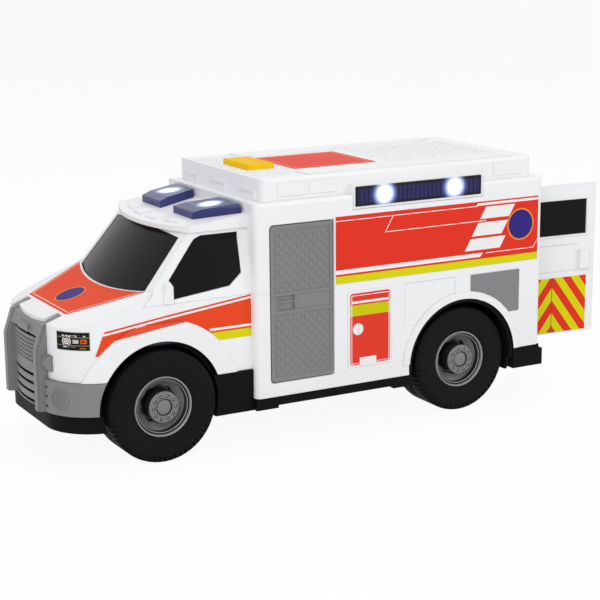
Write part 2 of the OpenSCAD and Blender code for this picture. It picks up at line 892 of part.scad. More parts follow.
// Chassis: floor, wheel wells, skirts, step boxes, bumpers, axle bearings and the battery box
skirt_w = 10.5;
skirt_sink = 0.6;
skirt_lift = 1.5;
skirt_pad = 13;
step_x0 = 28;
bearing_d = 8;
bearing_len = 9;
rib_t = 1.6;
lip_sink = 2;
rear_bumper_proud = 2.6;
rear_bumper_len = 18;
cell_d = 10.5;
cell_len = 44.5;
cell_gap = 0.5;
cell_count = 2;
contact_room = 2.2;
contact_t = 0.5;
contact_w = 8;
contact_tip_d = 4;
cover_t = 2;
cover_flange = 2;
cover_tab = 7;
keel_margin = 12;
keel_w = 48;
bay_w = cell_count * cell_d + (cell_count + 1) * cell_gap;
bay_len = cell_len + 2 * contact_room;
bay_start = 34;
bay_x0 = box_start + bay_start;
bay_z0 = ground_clearance + cover_t;
bay_top = bay_z0 + cell_d + cell_gap;
bay_roof_t = 1.4;

// Space kept free for the guard's back, in plan
module guard_zone() {
    half = guard_half + fit_gap;
    square_at([-reach, -half], [-guard_reach + guard_depth + overrun, half]);
}

module floor_plan() {
    side = box_side - wall - fit_gap;
    pass = pass_half_share * cab_side;
    difference() {
        union() {
            intersection() {
                nose_plan(bumper_t + fit_gap, bumper_reach, bumper_side, bumper_r);
                nose_plan(wall + fit_gap);
                square_at([-reach, -reach], [box_start - fit_gap, reach]);
            }
            square_at([box_start + wall + fit_gap, -side], [box_end - door_t - door_gap, side]);
            square_at([0, -pass], [box_start + 2 * wall, pass]);
        }
        guard_zone();
        for (flip = [0, 1]) mirror([0, flip])
            square_at([side_hinge_x - hinge_block - fit_gap, -side - overrun],
                      [side_door_x1 + hinge_r + fit_gap, -box_side + hinge_block + fit_gap]);
    }
}

// Outlines of the wheel wells: the liner's inside, grown by a margin
module front_well(grow) front_arch(grow - liner_gap - liner_t);
module rear_well(grow) translate([wheelbase, axle_z]) circle(arch_r - liner_gap - liner_t + grow);

// Solid wells, shut on the inner side, from the underside up
module well_liners() {
    both_sides() {
        along_y(-cab_side + wall + 3 * fit_gap, -well_y + liner_t) intersection() {
            front_well(liner_t);
            square_at([-reach, ground_clearance], [reach, seam_z]);
        }
        along_y(-box_side + wall + fit_gap, -well_y + liner_t) intersection() {
            rear_well(liner_t);
            square_at([-reach, ground_clearance], [reach, seam_z]);
        }
    }
}

// Room for the wheels, open to the sides and below
module wheel_room() {
    both_sides() along_y(-box_w, -well_y) {
        front_well(0);
        rear_well(0);
    }
}

// Black skirt under the box's side, with a lower pad at each end, and the web that joins it to the floor
module skirt() {
    x0 = box_start + fit_gap;
    x1 = wheelbase - arch_r + 2 * liner_t;
    y0 = -box_side + skirt_sink;
    y1 = -box_side + skirt_w;
    block([x0, y0, ground_clearance + skirt_lift], [x1, y1, sill_z - fit_gap / 2]);
    for (x = [x0, x1 - skirt_pad])
        block([x, y0, ground_clearance], [x + skirt_pad, y1, sill_z - overrun]);
    block([x0 + wall, -box_side + hinge_block + fit_gap, sill_z - overrun], [x1, y1, floor_z + floor_t / 2]);
}

// Step box under the cab, joined to the skirt
module step_box() {
    block([step_x0, -cab_side - flare_proud, ground_clearance],
          [box_start - fit_gap / 2, -cab_side + skirt_w, cab_sill_z - fit_gap / 2]);
    block([box_start - overrun, -cab_side + skirt_w / 2, ground_clearance + skirt_lift],
          [box_start + overrun, -cab_side + skirt_w, sill_z - fit_gap / 2]);
}

module chassis() color(chassis_black) in_frame() difference() {
    back_x = -guard_reach + guard_depth + grille_back_gap;
    union() {
        along_z(floor_z, floor_top) floor_plan();
        well_liners();
        for (x = [0, wheelbase]) both_sides()
            translate([x, -well_y, axle_z]) rotate([-90, 0, 0]) cylinder(d = bearing_d, h = bearing_len);
        both_sides() {
            skirt();
            step_box();
            block([-nose_reach + nose_r, -well_y + liner_t - overrun / 4, ground_clearance],
                  [box_end - rear_bumper_len + overrun, -well_y + liner_t + rib_t, floor_z + floor_t / 2]);
            block([box_end - rear_bumper_len, -box_side + skirt_sink, ground_clearance],
                  [box_end, -rear_door_w / 2 - door_gap, tail_z - fit_gap / 2]);
        }
        along_z(ground_clearance, guard_foot_z) difference() {
            nose_plan(lip_sink, bumper_reach, bumper_side, bumper_r);
            square_at([-nose_reach + nose_r, -reach], [reach, reach]);
        }
        along_z(guard_foot_z - overrun, floor_top) difference() {
            nose_plan(bumper_t + fit_gap, bumper_reach, bumper_side, bumper_r);
            square_at([-nose_reach + nose_r, -reach], [reach, reach]);
            guard_zone();
        }
        block([back_x, -guard_half + guard_bar_w, floor_z],
              [back_x + liner_t, guard_half - guard_bar_w, guard_foot_z + vent_z0 + slat_h]);
        block([box_end - rear_bumper_len, -box_side + skirt_sink, ground_clearance],
              [box_end + rear_bumper_proud, box_side - skirt_sink, rear_door_z0 - door_gap]);
        block([bay_x0 - keel_margin, -keel_w / 2, ground_clearance],
              [bay_x0 + bay_len + keel_margin, keel_w / 2, bay_top + bay_roof_t]);
    }
    wheel_room();
    for (x = [0, wheelbase])
        translate([x, 0, axle_z]) rotate([90, 0, 0])
            cylinder(d = axle_d + 2 * run_gap, h = box_w, center = true);
    battery_bay();
    hinge_bores();
    at_posts() along_z(0, floor_top + overrun) circle(d = screw_d + fit_gap);
    at_posts() along_z(0, screw_seat_z) circle(d = screw_head_d + 2 * fit_gap);
}

// Room for the cells and their cover
module battery_bay() {
    z0 = ground_clearance - overrun;
    block([bay_x0, -bay_w / 2, z0], [bay_x0 + bay_len, bay_w / 2, bay_top]);
    block([bay_x0 - cover_flange, -bay_w / 2 - cover_flange, z0],
          [bay_x0 + bay_len + cover_tab, bay_w / 2 + cover_flange, bay_z0]);
    at_cover_screw() cylinder(d = post_bore_d, h = screw_grip + fit_gap);
}

module at_cells() {
    for (i = [0 : cell_count - 1])
        translate([bay_x0, -bay_w / 2 + cell_gap + cell_d / 2 + i * (cell_d + cell_gap), bay_z0 + cell_d / 2])
            children();
}

module batteries() color(label_orange) in_frame() at_cells()
    translate([contact_room, 0, 0]) rotate([0, 90, 0]) cylinder(d = cell_d, h = cell_len);

module battery_contacts() color(steel) in_frame() {
    at_cells() {
        block([0, -contact_w / 2, -contact_w / 2], [contact_t, contact_w / 2, contact_w / 2]);
        rotate([0, 90, 0]) cylinder(d1 = contact_w, d2 = contact_tip_d, h = contact_room);
        translate([bay_len, 0, 0]) rotate([0, -90, 0]) cylinder(d = contact_tip_d, h = contact_room);
    }
    block([bay_x0 + bay_len - contact_t, -bay_w / 2 + cell_gap, bay_z0 + cell_d / 2 - contact_w / 2],
          [bay_x0 + bay_len, bay_w / 2 - cell_gap, bay_z0 + cell_d / 2 + contact_w / 2]);
}

module battery_cover() color(chassis_black) in_frame() difference() {
    block([bay_x0 - cover_flange + fit_gap, -bay_w / 2 - cover_flange + fit_gap, ground_clearance],
          [bay_x0 + bay_len + cover_tab - fit_gap, bay_w / 2 + cover_flange - fit_gap, bay_z0 - fit_gap / 2]);
    at_cover_screw() translate([0, 0, -overrun]) {
        cylinder(d = screw_d + fit_gap, h = cover_t + 2 * overrun);
        cylinder(d = screw_head_d + fit_gap, h = overrun + cover_t / 2);
    }
}

module at_cover_screw() translate([bay_x0 + bay_len + cover_tab / 2, 0, ground_clearance]) children();

module battery_screw() color(steel) in_frame() at_cover_screw() {
    cylinder(d = screw_head_d, h = cover_t / 2);
    cylinder(d = post_bore_d, h = screw_grip);
}

module body_screws() color(steel) in_frame() at_posts() {
    translate([0, 0, screw_seat_z - screw_head_h]) cylinder(d = screw_head_d, h = screw_head_h);
    translate([0, 0, screw_seat_z - screw_head_h / 2])
        cylinder(d = post_bore_d, h = floor_top - screw_seat_z + post_bore_h / 2);
}

module roof_screws() color(steel) in_frame() at_roof_screws() {
    translate([0, 0, box_top - wall - screw_head_h]) cylinder(d = screw_head_d, h = screw_head_h);
    translate([0, 0, box_top - wall - screw_head_h / 2]) cylinder(d = post_bore_d, h = wall + screw_grip);
}

// Blue cab lamps: a wedge in side view, a leaning trapezium in plan, with a bevelled outer edge
lamp_start_share = 0.53;
lamp_x0 = lamp_start_share * box_start;
lamp_rear_gap = 1.4;
lamp_x1 = box_start - lamp_rear_gap;
lamp_h = 4.7;
lamp_face_share = 0.8;
lamp_peak_share = 0.26;
lamp_bevel = 2.6;
lamp_bevel_slope = 1.4;
// Front inner, front outer, rear outer and rear inner corners as shares of the roof's half width
lamp_shares = [0.19, 0.735, 0.945, 0.36];

function roof_z(x) = cab_roof_z - (box_start - x) * roof_rise;

module cab_lamp() {
    peak_x = lamp_x0 + lamp_peak_share * (lamp_x1 - lamp_x0);
    y = -cab_roof_side * lamp_shares;
    difference() {
        intersection() {
            along_y(-cab_side, 0) polygon([
                [lamp_x0, roof_z(lamp_x0)], [lamp_x0, roof_z(lamp_x0) + lamp_h * lamp_face_share],
                [peak_x, roof_z(peak_x) + lamp_h], [lamp_x1, roof_z(lamp_x1) + lamp_h],
                [lamp_x1, roof_z(lamp_x1)]
            ]);
            along_z(brow_z, box_top)
                polygon([[lamp_x0, y[0]], [lamp_x0, y[1]], [lamp_x1, y[2]], [lamp_x1, y[3]]]);
        }
        beyond([lamp_x1, y[2] + lamp_bevel, roof_z(lamp_x1) + lamp_h],
               [(y[2] - y[1]) / (lamp_x1 - lamp_x0), -1, lamp_bevel_slope]);
    }
}

module cab_lamp_left() color(lens_blue) in_frame() on_side(-1) cab_lamp();
module cab_lamp_right() color(lens_blue) in_frame() on_side(1) cab_lamp();

module led() {
    cylinder(d = led_d, h = led_h - led_d / 2);
    translate([0, 0, led_h - led_d / 2]) sphere(d = led_d);
}

module at_bar_leds() {
    for (share = bar_led_shares)
        translate([bar_x0 + share * bar_len, -box_side + bar_depth + bar_frame, bar_z0 + bar_h / 2])
            children();
}

module lightbar_lens() {
    x1 = bar_x0 + bar_len;
    z1 = bar_z0 + bar_h;
    difference() {
        block([bar_x0, -box_side - bar_proud, bar_z0], [x1, -box_side + bar_depth, z1]);
        block([bar_x0 + bar_lens_t, -box_side + bar_lens_t, bar_z0 + bar_lens_t],
              [x1 - bar_lens_t, -box_side + bar_depth + overrun, z1 - bar_lens_t]);
    }
}

module lightbar_lens_left() color(lens_blue) in_frame() on_side(-1) lightbar_lens();
module lightbar_lens_right() color(lens_blue) in_frame() on_side(1) lightbar_lens();

module side_leds() color(led_clear) in_frame() both_sides() at_bar_leds() rotate([90, 0, 0]) led();

module cab_leds() color(led_clear) in_frame() both_sides()
    translate([cab_led_place.x, cab_led_place.y, roof_z(cab_led_place.x) - led_h - fit_gap]) led();

// Electronics under the roof cap; two stops on the board end the button's travel
board_len = 38;
board_w = 52;
board_margin = 6;
board_foot = 3;
module circuit_board() color(board_green) in_frame() {
    x0 = button_x0 - board_margin;
    block([x0, -board_w / 2, board_z], [x0 + board_len, board_w / 2, board_z + board_t]);
    for (x = [x0, x0 + board_len - board_foot], y = [-board_w / 2, board_w / 2 - board_foot])
        block([x, y, box_top], [x + board_foot, y + board_foot, board_z + board_t / 2]);
    for (y = [-button_w / 2, button_w / 2 - board_foot])
        block([button_x0, y, board_z],
              [button_x0 + button_len, y + board_foot, button_flange_z - button_travel - fit_gap]);
}

dome_d = 10;
dome_top_d = 6;
module button_dome() color(dome_rubber) in_frame()
    translate([button_x0 + button_len / 2, 0, board_z + board_t])
        cylinder(d1 = dome_d, d2 = dome_top_d, h = button_flange_z - board_z - board_t);

module roof_button() color(button_yellow) in_frame() {
    along_z(button_flange_z, cap_top + button_proud)
        square_at([button_x0, -button_w / 2], [button_x0 + button_len, button_w / 2]);
    along_z(button_flange_z, button_flange_z + button_flange_t)
        square_at([button_x0 - button_flange, -button_w / 2 - button_flange],
                  [button_x0 + button_len + button_flange, button_w / 2 + button_flange]);
}

speaker_d = 36;
speaker_h = 6;
speaker_share = 0.62;
speaker_x = box_start + speaker_share * box_len;
sound_hole_d = 2.2;
sound_ring_r = 6;
sound_hole_count = 6;
module speaker() color(speaker_grey) in_frame() translate([speaker_x, 0, box_top]) {
    cylinder(d = speaker_d, h = speaker_h / 3);
    cylinder(d = speaker_d / 2, h = speaker_h);
}

module sound_holes() {
    translate([speaker_x, 0, box_top - wall - overrun])
        for (i = [0 : sound_hole_count - 1]) rotate(i * 360 / sound_hole_count)
            translate([sound_ring_r, 0, 0]) cylinder(d = sound_hole_d, h = wall + 2 * overrun);
}

// Labels
hood_label_gap = 1;
module hood_label() color(label_orange) in_frame() {
    p = shoulder_points(-1);
    spread = screen_foot * (p[1].y - p[0].y) / crest_len;
    x = p[0].x + screen_foot;
    difference() {
        intersection() {
            along_z(cab_sill_z, cowl_z + 2 * overrun)
                polygon([[x, p[0].y - spread], [x, -p[0].y + spread], [p[1].x, -p[1].y], [p[1].x, p[1].y]]);
            beyond(cowl_point, hood_n);
        }
        beyond(cowl_point + label_t * hood_n, hood_n);
        behind_screen(-hood_label_gap);
    }
}

// Corners of the cab stripe, as shares of the cab's length behind the axle and drops below the seam
cab_label_shares = [-0.57, 0.027, 0.99, 0.99, -0.66];
cab_label_drops = [10.1, 6, 0.2, 22.4, 22.4];
module cab_label() {
    on_cab_side(0, label_t) difference() {
        polygon([
            for (i = [0 : len(cab_label_shares) - 1])
                [cab_label_shares[i] * box_start, seam_z - cab_label_drops[i]]
        ]);
        front_arch(flare_w + fit_gap);
    }
}
module cab_label_left() color(label_orange) in_frame() on_side(-1) cab_label();
module cab_label_right() color(label_orange) in_frame() on_side(1) cab_label();

side_label_gap = 0.9;
side_label_h = 36.6;
module side_label() {
    block([side_door_x1 + door_gap + side_label_gap, -box_side - label_t, seam_z + label_t],
          [box_end - box_r - fit_gap, -box_side, seam_z + side_label_h]);
}
module side_label_left() color(label_red) in_frame() on_side(-1) side_label();
module side_label_right() color(label_red) in_frame() on_side(1) side_label();

module hatch_label() {
    along_y(-box_side - panel_proud - label_t, -box_side - panel_proud) hatch_outline(hatch_margin);
}
module hatch_label_left() color(label_red) in_frame() on_side(-1) hatch_label();
module hatch_label_right() color(label_red) in_frame() on_side(1) hatch_label();

roof_label_start = 40.3;
roof_label_len = 51.5;
roof_label_gap = 3.94;
roof_label_w = 2 * (rail_in_share * cap_side - roof_label_gap);
module roof_label() color(label_red) in_frame()
    along_z(cap_top, cap_top + label_t)
        square_at([box_start + roof_label_start, -roof_label_w / 2],
                  [box_start + roof_label_start + roof_label_len, roof_label_w / 2]);

headlamp_rise = 17;
headlamp_h = 9.4;
headlamp_turn = [25, 65];
module headlamp_labels() color(glass_black) in_frame() both_sides()
    translate([-nose_reach + nose_r, -cab_side + nose_r, bumper_top + headlamp_rise])
        rotate(180 + headlamp_turn[0]) rotate_extrude(angle = headlamp_turn[1] - headlamp_turn[0])
            translate([nose_r, 0]) square([label_t, headlamp_h]);

module wheel_panel() along_y(-box_side - panel_proud, -box_side) arch_panel(wheelbase + panel_setback);
module wheel_panel_left() color(trim_grey) in_frame() on_side(-1) wheel_panel();
module wheel_panel_right() color(trim_grey) in_frame() on_side(1) wheel_panel();

// Rear door, drawn shut and then swung open about its pins
door_window_margin = 6.1;
door_window_rise = 59.6;
door_window_h = 21;
door_window_frame = 1.2;
door_frame_proud = 0.4;
door_pane_t = 1.2;
door_pane_sink = 0.3;
door_handle_w = 6.6;
door_handle_h = 11.4;
door_handle_rise = 38.4;
door_handle_edge = 4.5;
door_handle_proud = 2.2;
door_groove = 0.6;
door_groove_rises = [37.4, 53.2];
door_label_margin = 5.2;
door_label_rise = 0.8;
door_label_h = 33.2;

module swing_rear() {
    translate([rear_door_x, rear_door_y, 0])
        rotate(-rear_door_open)
            translate([-rear_door_x, -rear_door_y, 0]) children();
}

// Block in the rear door's window, shrunk by a margin, between two depths
module door_window(margin, x0, x1) {
    half = rear_door_w / 2 - door_window_margin - margin;
    z0 = rear_door_z0 + door_window_rise;
    block([x0, -half, z0 + margin], [x1, half, z0 + door_window_h - margin]);
}

module rear_door() color(body_white) in_frame() swing_rear() {
    y1 = rear_door_w / 2 - door_handle_edge;
    z1 = rear_door_z0 + door_handle_rise;
    difference() {
        union() {
            block([box_end - door_t, rear_door_y, rear_door_z0], [box_end, rear_door_w / 2, rear_door_z1]);
            translate([rear_door_x, rear_door_y, rear_door_z0]) cylinder(r = hinge_r, h = rear_door_h);
            block([rear_door_x, y1 - door_handle_w, z1],
                  [box_end + door_handle_proud, y1, z1 + door_handle_h]);
            door_window(-door_window_frame, rear_door_x, box_end + door_frame_proud);
        }
        door_window(0, box_end - door_pane_sink - door_pane_t, box_end + overrun);
        door_window(door_pane_t, box_end - door_t - overrun, box_end);
        for (rise = door_groove_rises)
            block([box_end - door_groove / 2, -rear_door_w / 2 + door_label_margin, rear_door_z0 + rise],
                  [box_end + door_groove / 2, y1 - door_handle_w - door_groove,
                   rear_door_z0 + rise + door_groove]);
    }
    for (z = [rear_door_z0 - pin_len, rear_door_z1 - hinge_r])
        translate([rear_door_x, rear_door_y, z]) cylinder(d = hinge_pin_d, h = pin_len + hinge_r);
}

module rear_door_window() color(glass_black) in_frame() swing_rear()
    door_window(window_gap, box_end - door_pane_sink - door_pane_t, box_end - door_pane_sink);

module rear_door_label() color(label_red) in_frame() swing_rear() {
    half = rear_door_w / 2 - door_label_margin;
    z0 = rear_door_z0 + door_label_rise;
    block([box_end, -half, z0], [box_end + label_t, half, z0 + door_label_h]);
}

// Side doors: a rim round two sunk panels, and a band with a grip between them
door_rim = 2.4;
door_corner_r = 2;
door_band_rise = 36.6;
door_band_h = 11.6;
grip_rise = 38.5;
grip_h = 8.1;
grip_slot_w = 2.1;
grip_w = 9.2;
grip_sink = 1.2;
module side_door() {
    y0 = -box_side;
    x0 = side_door_x0 + door_rim;
    x1 = side_hinge_x - door_rim / 4;
    grip_x = x0 + grip_slot_w + door_rim / 4;
    strip_x = grip_x + grip_w + door_rim / 4;
    grip_z = side_door_z0 + grip_rise;
    sunk = [
        [x0, x0 + grip_slot_w, panel_sink], [grip_x, grip_x + grip_w, grip_sink], [strip_x, x1, panel_sink]
    ];
    difference() {
        union() {
            along_y(y0, y0 + door_t) {
                round_rect([side_door_x0, side_door_z0],
                           [side_hinge_x - fit_gap, side_door_z1], door_corner_r);
                square_at([side_hinge_x - 2 * door_corner_r, side_door_z0], [side_hinge_x, side_door_z1]);
            }
            translate([side_hinge_x, -side_hinge_y, side_door_z0]) cylinder(r = hinge_r, h = side_door_h);
        }
        for (z = [[door_rim, door_band_rise], [door_band_rise + door_band_h, side_door_h - door_rim]])
            block([x0, y0 - overrun, side_door_z0 + z[0]], [x1, y0 + panel_sink, side_door_z0 + z[1]]);
        for (s = sunk)
            block([s[0], y0 - overrun, grip_z], [s[1], y0 + s[2], grip_z + grip_h]);
    }
    block([grip_x, y0 + panel_sink, grip_z + grip_h / 2],
          [grip_x + grip_w, y0 + door_t / 2, grip_z + grip_h / 2 + grip_sink]);
    for (z = [side_door_z0 - pin_len, side_door_z1 - hinge_r])
        translate([side_hinge_x, -side_hinge_y, z]) cylinder(d = hinge_pin_d, h = pin_len + hinge_r);
}
module side_door_left() color(trim_grey) in_frame() on_side(-1) side_door();
module side_door_right() color(trim_grey) in_frame() on_side(1) side_door();

// Wheels
tyre_bead = 4;
tyre_shoulder = 2.6;
rim_lip = 1.8;
rim_sink = 1.2;
dish_depth = 6;
hub_t = 3;
drum_d = 16.6;
drum_sink = 1;
cap_d = 8.8;
cap_proud = 0.8;
hub_boss_d = 7;
lug_count = 10;
lug_ring_r = 6.2;
lug_d = 2.6;
lug_proud = 0.6;
scallop_d = 3.2;
scallop_ring_r = 10;

module axle(x) {
    translate([x, 0, axle_z]) rotate([90, 0, 0])
        cylinder(d = axle_d, h = track_w - 2 * dish_depth - hub_t, center = true);
}

// Places a wheel that is drawn with its outer face at z = 0 and its inner side towards +Z
module wheel_at(x) translate([x, -track_w / 2, axle_z]) rotate([-90, 0, 0]) children();

module hub() {
    difference() {
        union() {
            rotate_extrude() polygon([
                [0, drum_sink - cap_proud], [cap_d / 2 - cap_proud, drum_sink - cap_proud],
                [cap_d / 2, drum_sink], [drum_d / 2, drum_sink], [drum_d / 2, dish_depth],
                [rim_r - rim_lip - rim_sink / 2, dish_depth], [rim_r - rim_lip, rim_sink], [rim_r, rim_sink],
                [rim_r, tyre_w - rim_sink], [rim_r - rim_lip, tyre_w - rim_sink],
                [rim_r - rim_lip, dish_depth + hub_t], [hub_boss_d / 2, dish_depth + hub_t],
                [hub_boss_d / 2, tyre_w], [0, tyre_w]
            ]);
            for (i = [0 : lug_count - 1]) rotate(i * 360 / lug_count)
                translate([lug_ring_r, 0, drum_sink - lug_proud])
                    cylinder(d = lug_d, h = lug_proud + hub_t / 2);
        }
        translate([0, 0, dish_depth + hub_t / 3]) cylinder(d = axle_d, h = tyre_w);
        for (i = [0 : lug_count - 1]) rotate((i + 1 / 2) * 360 / lug_count)
            translate([scallop_ring_r, 0, dish_depth - overrun])
                cylinder(d = scallop_d, h = hub_t + 2 * overrun);
    }
}

module tyre() {
    side_r = tyre_r - tyre_shoulder - tyre_bead;
    rotate_extrude($fn = 128) polygon([
        [rim_r, rim_sink], [rim_r + tyre_bead / 4, rim_sink / 2], [side_r, 0],
        [tyre_r - tyre_shoulder / 2, tyre_shoulder / 4], [tyre_r, tyre_shoulder],
        [tyre_r, tyre_w - tyre_shoulder],
        [tyre_r - tyre_shoulder / 2, tyre_w - tyre_shoulder / 4], [side_r, tyre_w],
        [rim_r + tyre_bead / 4, tyre_w - rim_sink / 2], [rim_r, tyre_w - rim_sink]
    ]);
}

module front_axle() color(steel) in_frame() axle(0);
module rear_axle() color(steel) in_frame() axle(wheelbase);
module front_hub_left() color(trim_grey) in_frame() on_side(-1) wheel_at(0) hub();
module front_hub_right() color(trim_grey) in_frame() on_side(1) wheel_at(0) hub();
module rear_hub_left() color(trim_grey) in_frame() on_side(-1) wheel_at(wheelbase) hub();
module rear_hub_right() color(trim_grey) in_frame() on_side(1) wheel_at(wheelbase) hub();
module front_tyre_left() color(chassis_black) in_frame() on_side(-1) wheel_at(0) tyre();
module front_tyre_right() color(chassis_black) in_frame() on_side(1) wheel_at(0) tyre();
module rear_tyre_left() color(chassis_black) in_frame() on_side(-1) wheel_at(wheelbase) tyre();
module rear_tyre_right() color(chassis_black) in_frame() on_side(1) wheel_at(wheelbase) tyre();

chassis();
lower_body();
upper_body();
roof_cap();
cab_glazing();
front_guard();
cab_lamp_left();
cab_lamp_right();
lightbar_lens_left();
lightbar_lens_right();
hood_label();
cab_label_left();
cab_label_right();
side_label_left();
side_label_right();
hatch_label_left();
hatch_label_right();
roof_label();
headlamp_labels();
wheel_panel_left();
wheel_panel_right();
circuit_board();
button_dome();
side_leds();
cab_leds();
speaker();
batteries();
battery_contacts();
battery_cover();
battery_screw();
body_screws();
roof_screws();
roof_button();
rear_door();
rear_door_window();
rear_door_label();
side_door_left();
side_door_right();
front_axle();
front_hub_left();
front_hub_right();
front_tyre_left();
front_tyre_right();
rear_axle();
rear_hub_left();
rear_hub_right();
rear_tyre_left();
rear_tyre_right();
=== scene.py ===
# %% [markdown]
# # Toy ambulance
# The solid model of the toy comes in ready made: every shell, door, wheel and label is already in its place.
# This lesson gives each piece its finish, draws the printed labels with shader nodes, and models the pieces
# that need more detail than the solids have: tyres, wheel hubs, the roof button, rivets, studs and ribs.

# %% Load the solid model
import bmesh
import bpy
import math
from mathutils import Matrix, Vector


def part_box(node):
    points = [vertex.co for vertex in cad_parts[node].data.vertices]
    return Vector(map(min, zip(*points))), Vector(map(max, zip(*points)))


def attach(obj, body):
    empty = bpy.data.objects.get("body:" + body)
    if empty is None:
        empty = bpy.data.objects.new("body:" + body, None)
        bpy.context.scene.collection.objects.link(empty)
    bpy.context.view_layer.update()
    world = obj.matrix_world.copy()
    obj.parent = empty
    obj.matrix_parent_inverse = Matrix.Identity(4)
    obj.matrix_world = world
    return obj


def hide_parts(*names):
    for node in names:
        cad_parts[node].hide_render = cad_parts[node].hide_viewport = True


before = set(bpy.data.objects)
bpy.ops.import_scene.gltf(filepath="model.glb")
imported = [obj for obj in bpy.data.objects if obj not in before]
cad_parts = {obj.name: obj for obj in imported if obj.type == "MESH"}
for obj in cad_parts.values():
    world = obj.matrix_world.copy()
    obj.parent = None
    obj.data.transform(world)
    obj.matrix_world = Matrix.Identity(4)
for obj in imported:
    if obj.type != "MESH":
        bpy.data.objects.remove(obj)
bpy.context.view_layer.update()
bpy.ops.object.select_all(action="DESELECT")
MM = 0.001
axle_low, axle_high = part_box("front_axle")
FRONT_X = (axle_low.x + axle_high.x) / 2
AXLE_Z = (axle_low.z + axle_high.z) / 2
rear_low, rear_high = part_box("rear_axle")
REAR_X = (rear_low.x + rear_high.x) / 2

# %% [markdown]
# A long lens from some way off keeps the toy's upright lines nearly parallel, as in a product picture.
# The camera's place follows from two angles and a distance, so its three axes are worked out as vectors
# and written into its matrix. That is more exact than turning it by hand.

# %% Camera
CAMERA_AZIMUTH = math.radians(-28.88)
CAMERA_HEIGHT = math.radians(13.09)
CAMERA_ROLL = math.radians(-0.5)
CAMERA_DISTANCE = 853.8 * MM
CAMERA_LENS = 96.27
aim = Vector((FRONT_X + 82.5 * MM, -47.7 * MM, 75.25 * MM))
back = Vector((math.sin(CAMERA_AZIMUTH) * math.cos(CAMERA_HEIGHT),
               -math.cos(CAMERA_AZIMUTH) * math.cos(CAMERA_HEIGHT), math.sin(CAMERA_HEIGHT)))
level = Vector((math.cos(CAMERA_AZIMUTH), math.sin(CAMERA_AZIMUTH), 0))
upright = back.cross(level)
right = level * math.cos(CAMERA_ROLL) + upright * math.sin(CAMERA_ROLL)
up = upright * math.cos(CAMERA_ROLL) - level * math.sin(CAMERA_ROLL)
bpy.ops.object.camera_add()
camera = bpy.context.object
camera.data.lens = CAMERA_LENS
camera.data.sensor_width = 36
camera.data.clip_start = 0.01
axes = Matrix((right, up, back)).transposed().to_4x4()
camera.matrix_world = Matrix.Translation(aim + back * CAMERA_DISTANCE) @ axes
bpy.context.scene.camera = camera
print("camera at", [round(v, 3) for v in camera.matrix_world.translation])

# %% [markdown]
# A white toy on a white floor needs soft light from more than one side, or its faces run together.
# Three large area lamps do that: a key lamp on the left, a weaker one on the right, and one above.
# The floor shows white to the camera but still takes the shadow, by mixing its colour with a plain white.
# The short helpers for Math nodes serve here first, and in every material that follows.

# %% Floor, lamps and sky
scene = bpy.context.scene
scene.view_settings.view_transform = "Standard"
bpy.ops.mesh.primitive_plane_add(size=30, location=(0, 0, -0.1 * MM))
floor = bpy.context.object
floor.name = "floor"


def calc(tree, kind, a, b=0.0, c=None):
    """One Math node; numbers are set on it and sockets are linked to it."""
    node = tree.nodes.new("ShaderNodeMath")
    node.operation = kind
    for socket, value in zip(node.inputs, (a, b, c)):
        if isinstance(value, (int, float)):
            socket.default_value = value
        elif value is not None:
            tree.links.new(value, socket)
    return node.outputs[0]


def minus(tree, a, b):
    return calc(tree, "SUBTRACT", a, b)


def times(tree, a, b):
    return calc(tree, "MULTIPLY", a, b)


def under(tree, a, b):
    return calc(tree, "LESS_THAN", a, b)


def above(tree, a, b):
    return calc(tree, "GREATER_THAN", a, b)


def size_of(tree, a):
    return calc(tree, "ABSOLUTE", a)


def seen_directly(tree):
    """1 where a ray comes from the camera, a reflection or through glass."""
    path = tree.nodes.new("ShaderNodeLightPath")
    total = path.outputs["Is Camera Ray"]
    for name in ("Is Glossy Ray", "Is Transmission Ray"):
        total = calc(tree, "MAXIMUM", total, path.outputs[name])
    return total


FLOOR_GLOW = 0.93
SKY_STRENGTH = 0.42
LAMP_AIM = Vector((0, 0, 0.07))
floor_paint = bpy.data.materials.new("floor_white")
floor_paint.use_nodes = True
tree = floor_paint.node_tree
tree.nodes.clear()
matt = tree.nodes.new("ShaderNodeBsdfDiffuse")
matt.inputs["Color"].default_value = (0.9, 0.9, 0.9, 1)
glow = tree.nodes.new("ShaderNodeEmission")
blend = tree.nodes.new("ShaderNodeMixShader")
out = tree.nodes.new("ShaderNodeOutputMaterial")
tree.links.new(times(tree, seen_directly(tree), FLOOR_GLOW), blend.inputs[0])
tree.links.new(matt.outputs[0], blend.inputs[1])
tree.links.new(glow.outputs[0], blend.inputs[2])
tree.links.new(blend.outputs[0], out.inputs[0])
floor.data.materials.append(floor_paint)

sky = bpy.data.worlds.new("studio")
sky.use_nodes = True
scene.world = sky
tree = sky.node_tree
soft = tree.nodes["Background"]
soft.inputs["Strength"].default_value = SKY_STRENGTH
white = tree.nodes.new("ShaderNodeBackground")
for shade in (soft, white):
    shade.inputs["Color"].default_value = (1, 1, 1, 1)
blend = tree.nodes.new("ShaderNodeMixShader")
tree.links.new(seen_directly(tree), blend.inputs[0])
tree.links.new(soft.outputs[0], blend.inputs[1])
tree.links.new(white.outputs[0], blend.inputs[2])
tree.links.new(blend.outputs[0], tree.nodes["World Output"].inputs[0])


def lamp(name, place, size, watts):
    bpy.ops.object.light_add(type="AREA", location=place)
    made = bpy.context.object
    made.name = name
    made.data.size = size
    made.data.energy = watts
    made.rotation_euler = (LAMP_AIM - Vector(place)).to_track_quat("-Z", "Y").to_euler()


lamp("key", (-0.9, -1.0, 1.0), 0.9, 10.0)
lamp("side", (1.0, -1.1, 0.7), 1.0, 5.8)
lamp("top", (0.1, 0.3, 1.3), 1.2, 5.2)

